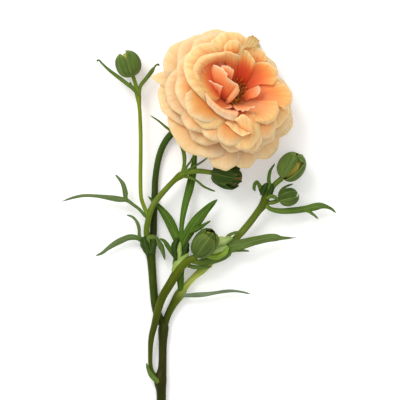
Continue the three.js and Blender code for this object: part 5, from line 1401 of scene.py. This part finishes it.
def flap(bud, values):
    """A sepal that has folded back from the bud's end, its tip towards the stalk."""
    turn, half, start, end, tone = values
    u, v = shares(FLAP_GRID)
    turn = math.radians(turn) + math.radians(half) * v * np.interp(u, *zip(*FLAP_OUTLINE))
    off = FLAP_STANDS_OFF + FLAP_CURL * u ** 2 - FLAP_BEND * v ** 2 + FLAP_KEEL * ridge(v)
    return sheet(on_bud(bud, off, np.pi * (start + (end - start) * u), turn), SEPAL_THICKNESS, tone)


print("a sepal has", 2 * SEPAL_GRID[0] * SEPAL_GRID[1], "points")

# %% A function for a bud's petals
BUD_SHELL = 0.95                  # mm from the outside of the sepals to the petals
BUD_POLE = 0.05                   # radians from a pole to the first ring
WRAPS, WRAP_TWIST, WRAP_STEP = 4, 0.9, 0.4    # bud petals in one turn, twist in petals, mm
BUD_PETAL_GRID = (30, 60)         # rings, and points in each


def bud_petals(bud, number):
    """The bud's ball, stepped where one wrapped petal lies over the next."""
    polar = np.linspace(BUD_POLE, np.pi - BUD_POLE, BUD_PETAL_GRID[0])[:, None]
    share = (np.arange(BUD_PETAL_GRID[1]) / BUD_PETAL_GRID[1])[None]
    wrapped = WRAPS * share + WRAP_TWIST * polar / np.pi
    v = 2 * (wrapped - np.floor(wrapped)) - 1
    off = -BUD_SHELL + WRAP_STEP * v * np.sin(polar)
    points = on_bud(bud, off, polar, 2 * np.pi * share, width=np.sin)
    return rings(points, bud.get("brown", 0.1) + spread(number, 1, 0.05))


print("a bud's petals have", BUD_PETAL_GRID[0] * BUD_PETAL_GRID[1] + 2, "points")

# %% Bud pieces
for bud_number, (name, bud) in enumerate(BUDS.items()):
    number = 600 + 10 * bud_number
    sepals = [sepal(bud, number + i, values) for i, values in enumerate(bud["sepals"])]
    sepals += [flap(bud, values) for values in bud.get("flaps", [])]
    piece(f"bud_{name}_leathery", sepals, sepal_skin, f"bud_{name}_sepals")
    piece(f"bud_{name}_wrapped", [bud_petals(bud, number)], young_petal, f"bud_{name}_petals")

# %% [markdown]
# ## The bloom's calyx
#
# Under the bloom five short sepals hang back from a small disc, where the stem ends. They are petal
# shapes with a slope below zero, so the petal function makes them too.

# %% Calyx
CALYX_SEPALS = 5
CALYX_SEPAL = {
    "root": 2.4, "rise": -1.4, "from": -6, "to": -30, "length": 13, "width": 0.5, "tightest": 4,
    "tuck": 0, "hollow": -0.3, "curl": 0.8, "wave": 0.2, "ripples": 1, "ruffle": 0.2, "pleat": 0.05,
    "tone": 0.3}
CALYX_DISC = [(2.6, -2.2), (3.8, -1.7), (4.0, -1.3), (3.4, -0.9)]    # radius, height

calyx = [ring_petal({**CALYX_SEPAL, "azimuth": 60 + 360 / CALYX_SEPALS * i, "phase": i}, grid=(12, 13))
         for i in range(CALYX_SEPALS)]
disc = turned(CALYX_DISC, 15, tone=0.3, floor=0)
piece("calyx", calyx + [disc], sepal_skin, "bloom_sepals")

# %% [markdown]
# ## Table, light and camera
#
# The plant lies on a table covered with matt white card, which gets a little light of its own, so
# that it stays white to its edges. A large soft light from the upper left gives each petal a gentle
# shade, a weak one from the right keeps shadows open, and a bright white room fills the rest. The
# camera looks straight down from 1.6 m with a long lens, so that the frame is 200 mm wide at the
# plant.

# %% Table
TABLE_HALF = 1.5                  # m
card = bpy.data.materials.new("matt_white_card")
card.use_nodes = True
fill_inputs(card.node_tree, card.node_tree.nodes["Principled BSDF"], {
    "Base Color": linear("#F7F6F4"), "Roughness": 0.9, "Specular IOR Level": 0.1,
    "Emission Color": linear("#FFFFFF"), "Emission Strength": 0.2})
table_mesh = bpy.data.meshes.new("table")
table_corners = [(x * TABLE_HALF, y * TABLE_HALF, 0) for x, y in ((-1, -1), (1, -1), (1, 1), (-1, 1))]
table_mesh.from_pydata(table_corners, [], [(0, 1, 2, 3)])
table_mesh.materials.append(card)
table = bpy.data.objects.new("table", table_mesh)
bpy.context.scene.collection.objects.link(table)
print("table:", 2 * TABLE_HALF, "m wide")

# %% Light
ROOM_BRIGHTNESS = 0.78
LIT_PLACE = Vector((0, 0.04, 0.02))    # m, where both lights point
room = bpy.data.worlds.new("white_room")
bpy.context.scene.world = room
room.use_nodes = True
fill_inputs(room.node_tree, room.node_tree.nodes["Background"], {
    "Color": linear("#FFFFFF"), "Strength": ROOM_BRIGHTNESS})


def soft_light(name, place, size, watts):
    light = bpy.data.lights.new(name, "AREA")
    light.size, light.energy = size, watts
    lamp = bpy.data.objects.new(name, light)
    lamp.location = place
    lamp.rotation_mode = "QUATERNION"
    lamp.rotation_quaternion = (LIT_PLACE - Vector(place)).to_track_quat("-Z", "Y")
    bpy.context.scene.collection.objects.link(lamp)
    print(name, "light:", size, "m wide,", watts, "W")


soft_light("window", (-0.42, 0.62, 0.72), 0.5, 6.0)
soft_light("reflector", (0.6, -0.2, 0.6), 0.8, 0.6)

# %% Camera
CAMERA_HEIGHT = 1.6               # m
FRAME_WIDTH = 200.0               # mm at the plant's middle height
PLANT_MIDDLE = 15.0               # mm over the table
LOOKS_AT = np.array([0.5, 12.5])  # mm in the plant's drawing
camera = bpy.data.cameras.new("camera")
camera.sensor_width = 36.0
camera.lens = camera.sensor_width * (CAMERA_HEIGHT / MM - PLANT_MIDDLE) / FRAME_WIDTH
camera.clip_end = 10.0
viewer = bpy.data.objects.new("camera", camera)
viewer.location = (*((LOOKS_AT + SHIFT[:2]) * MM), CAMERA_HEIGHT)
bpy.context.scene.collection.objects.link(viewer)
bpy.context.scene.camera = viewer
bpy.context.scene.view_settings.view_transform = "Standard"
print("lens", round(camera.lens, 1), "mm")
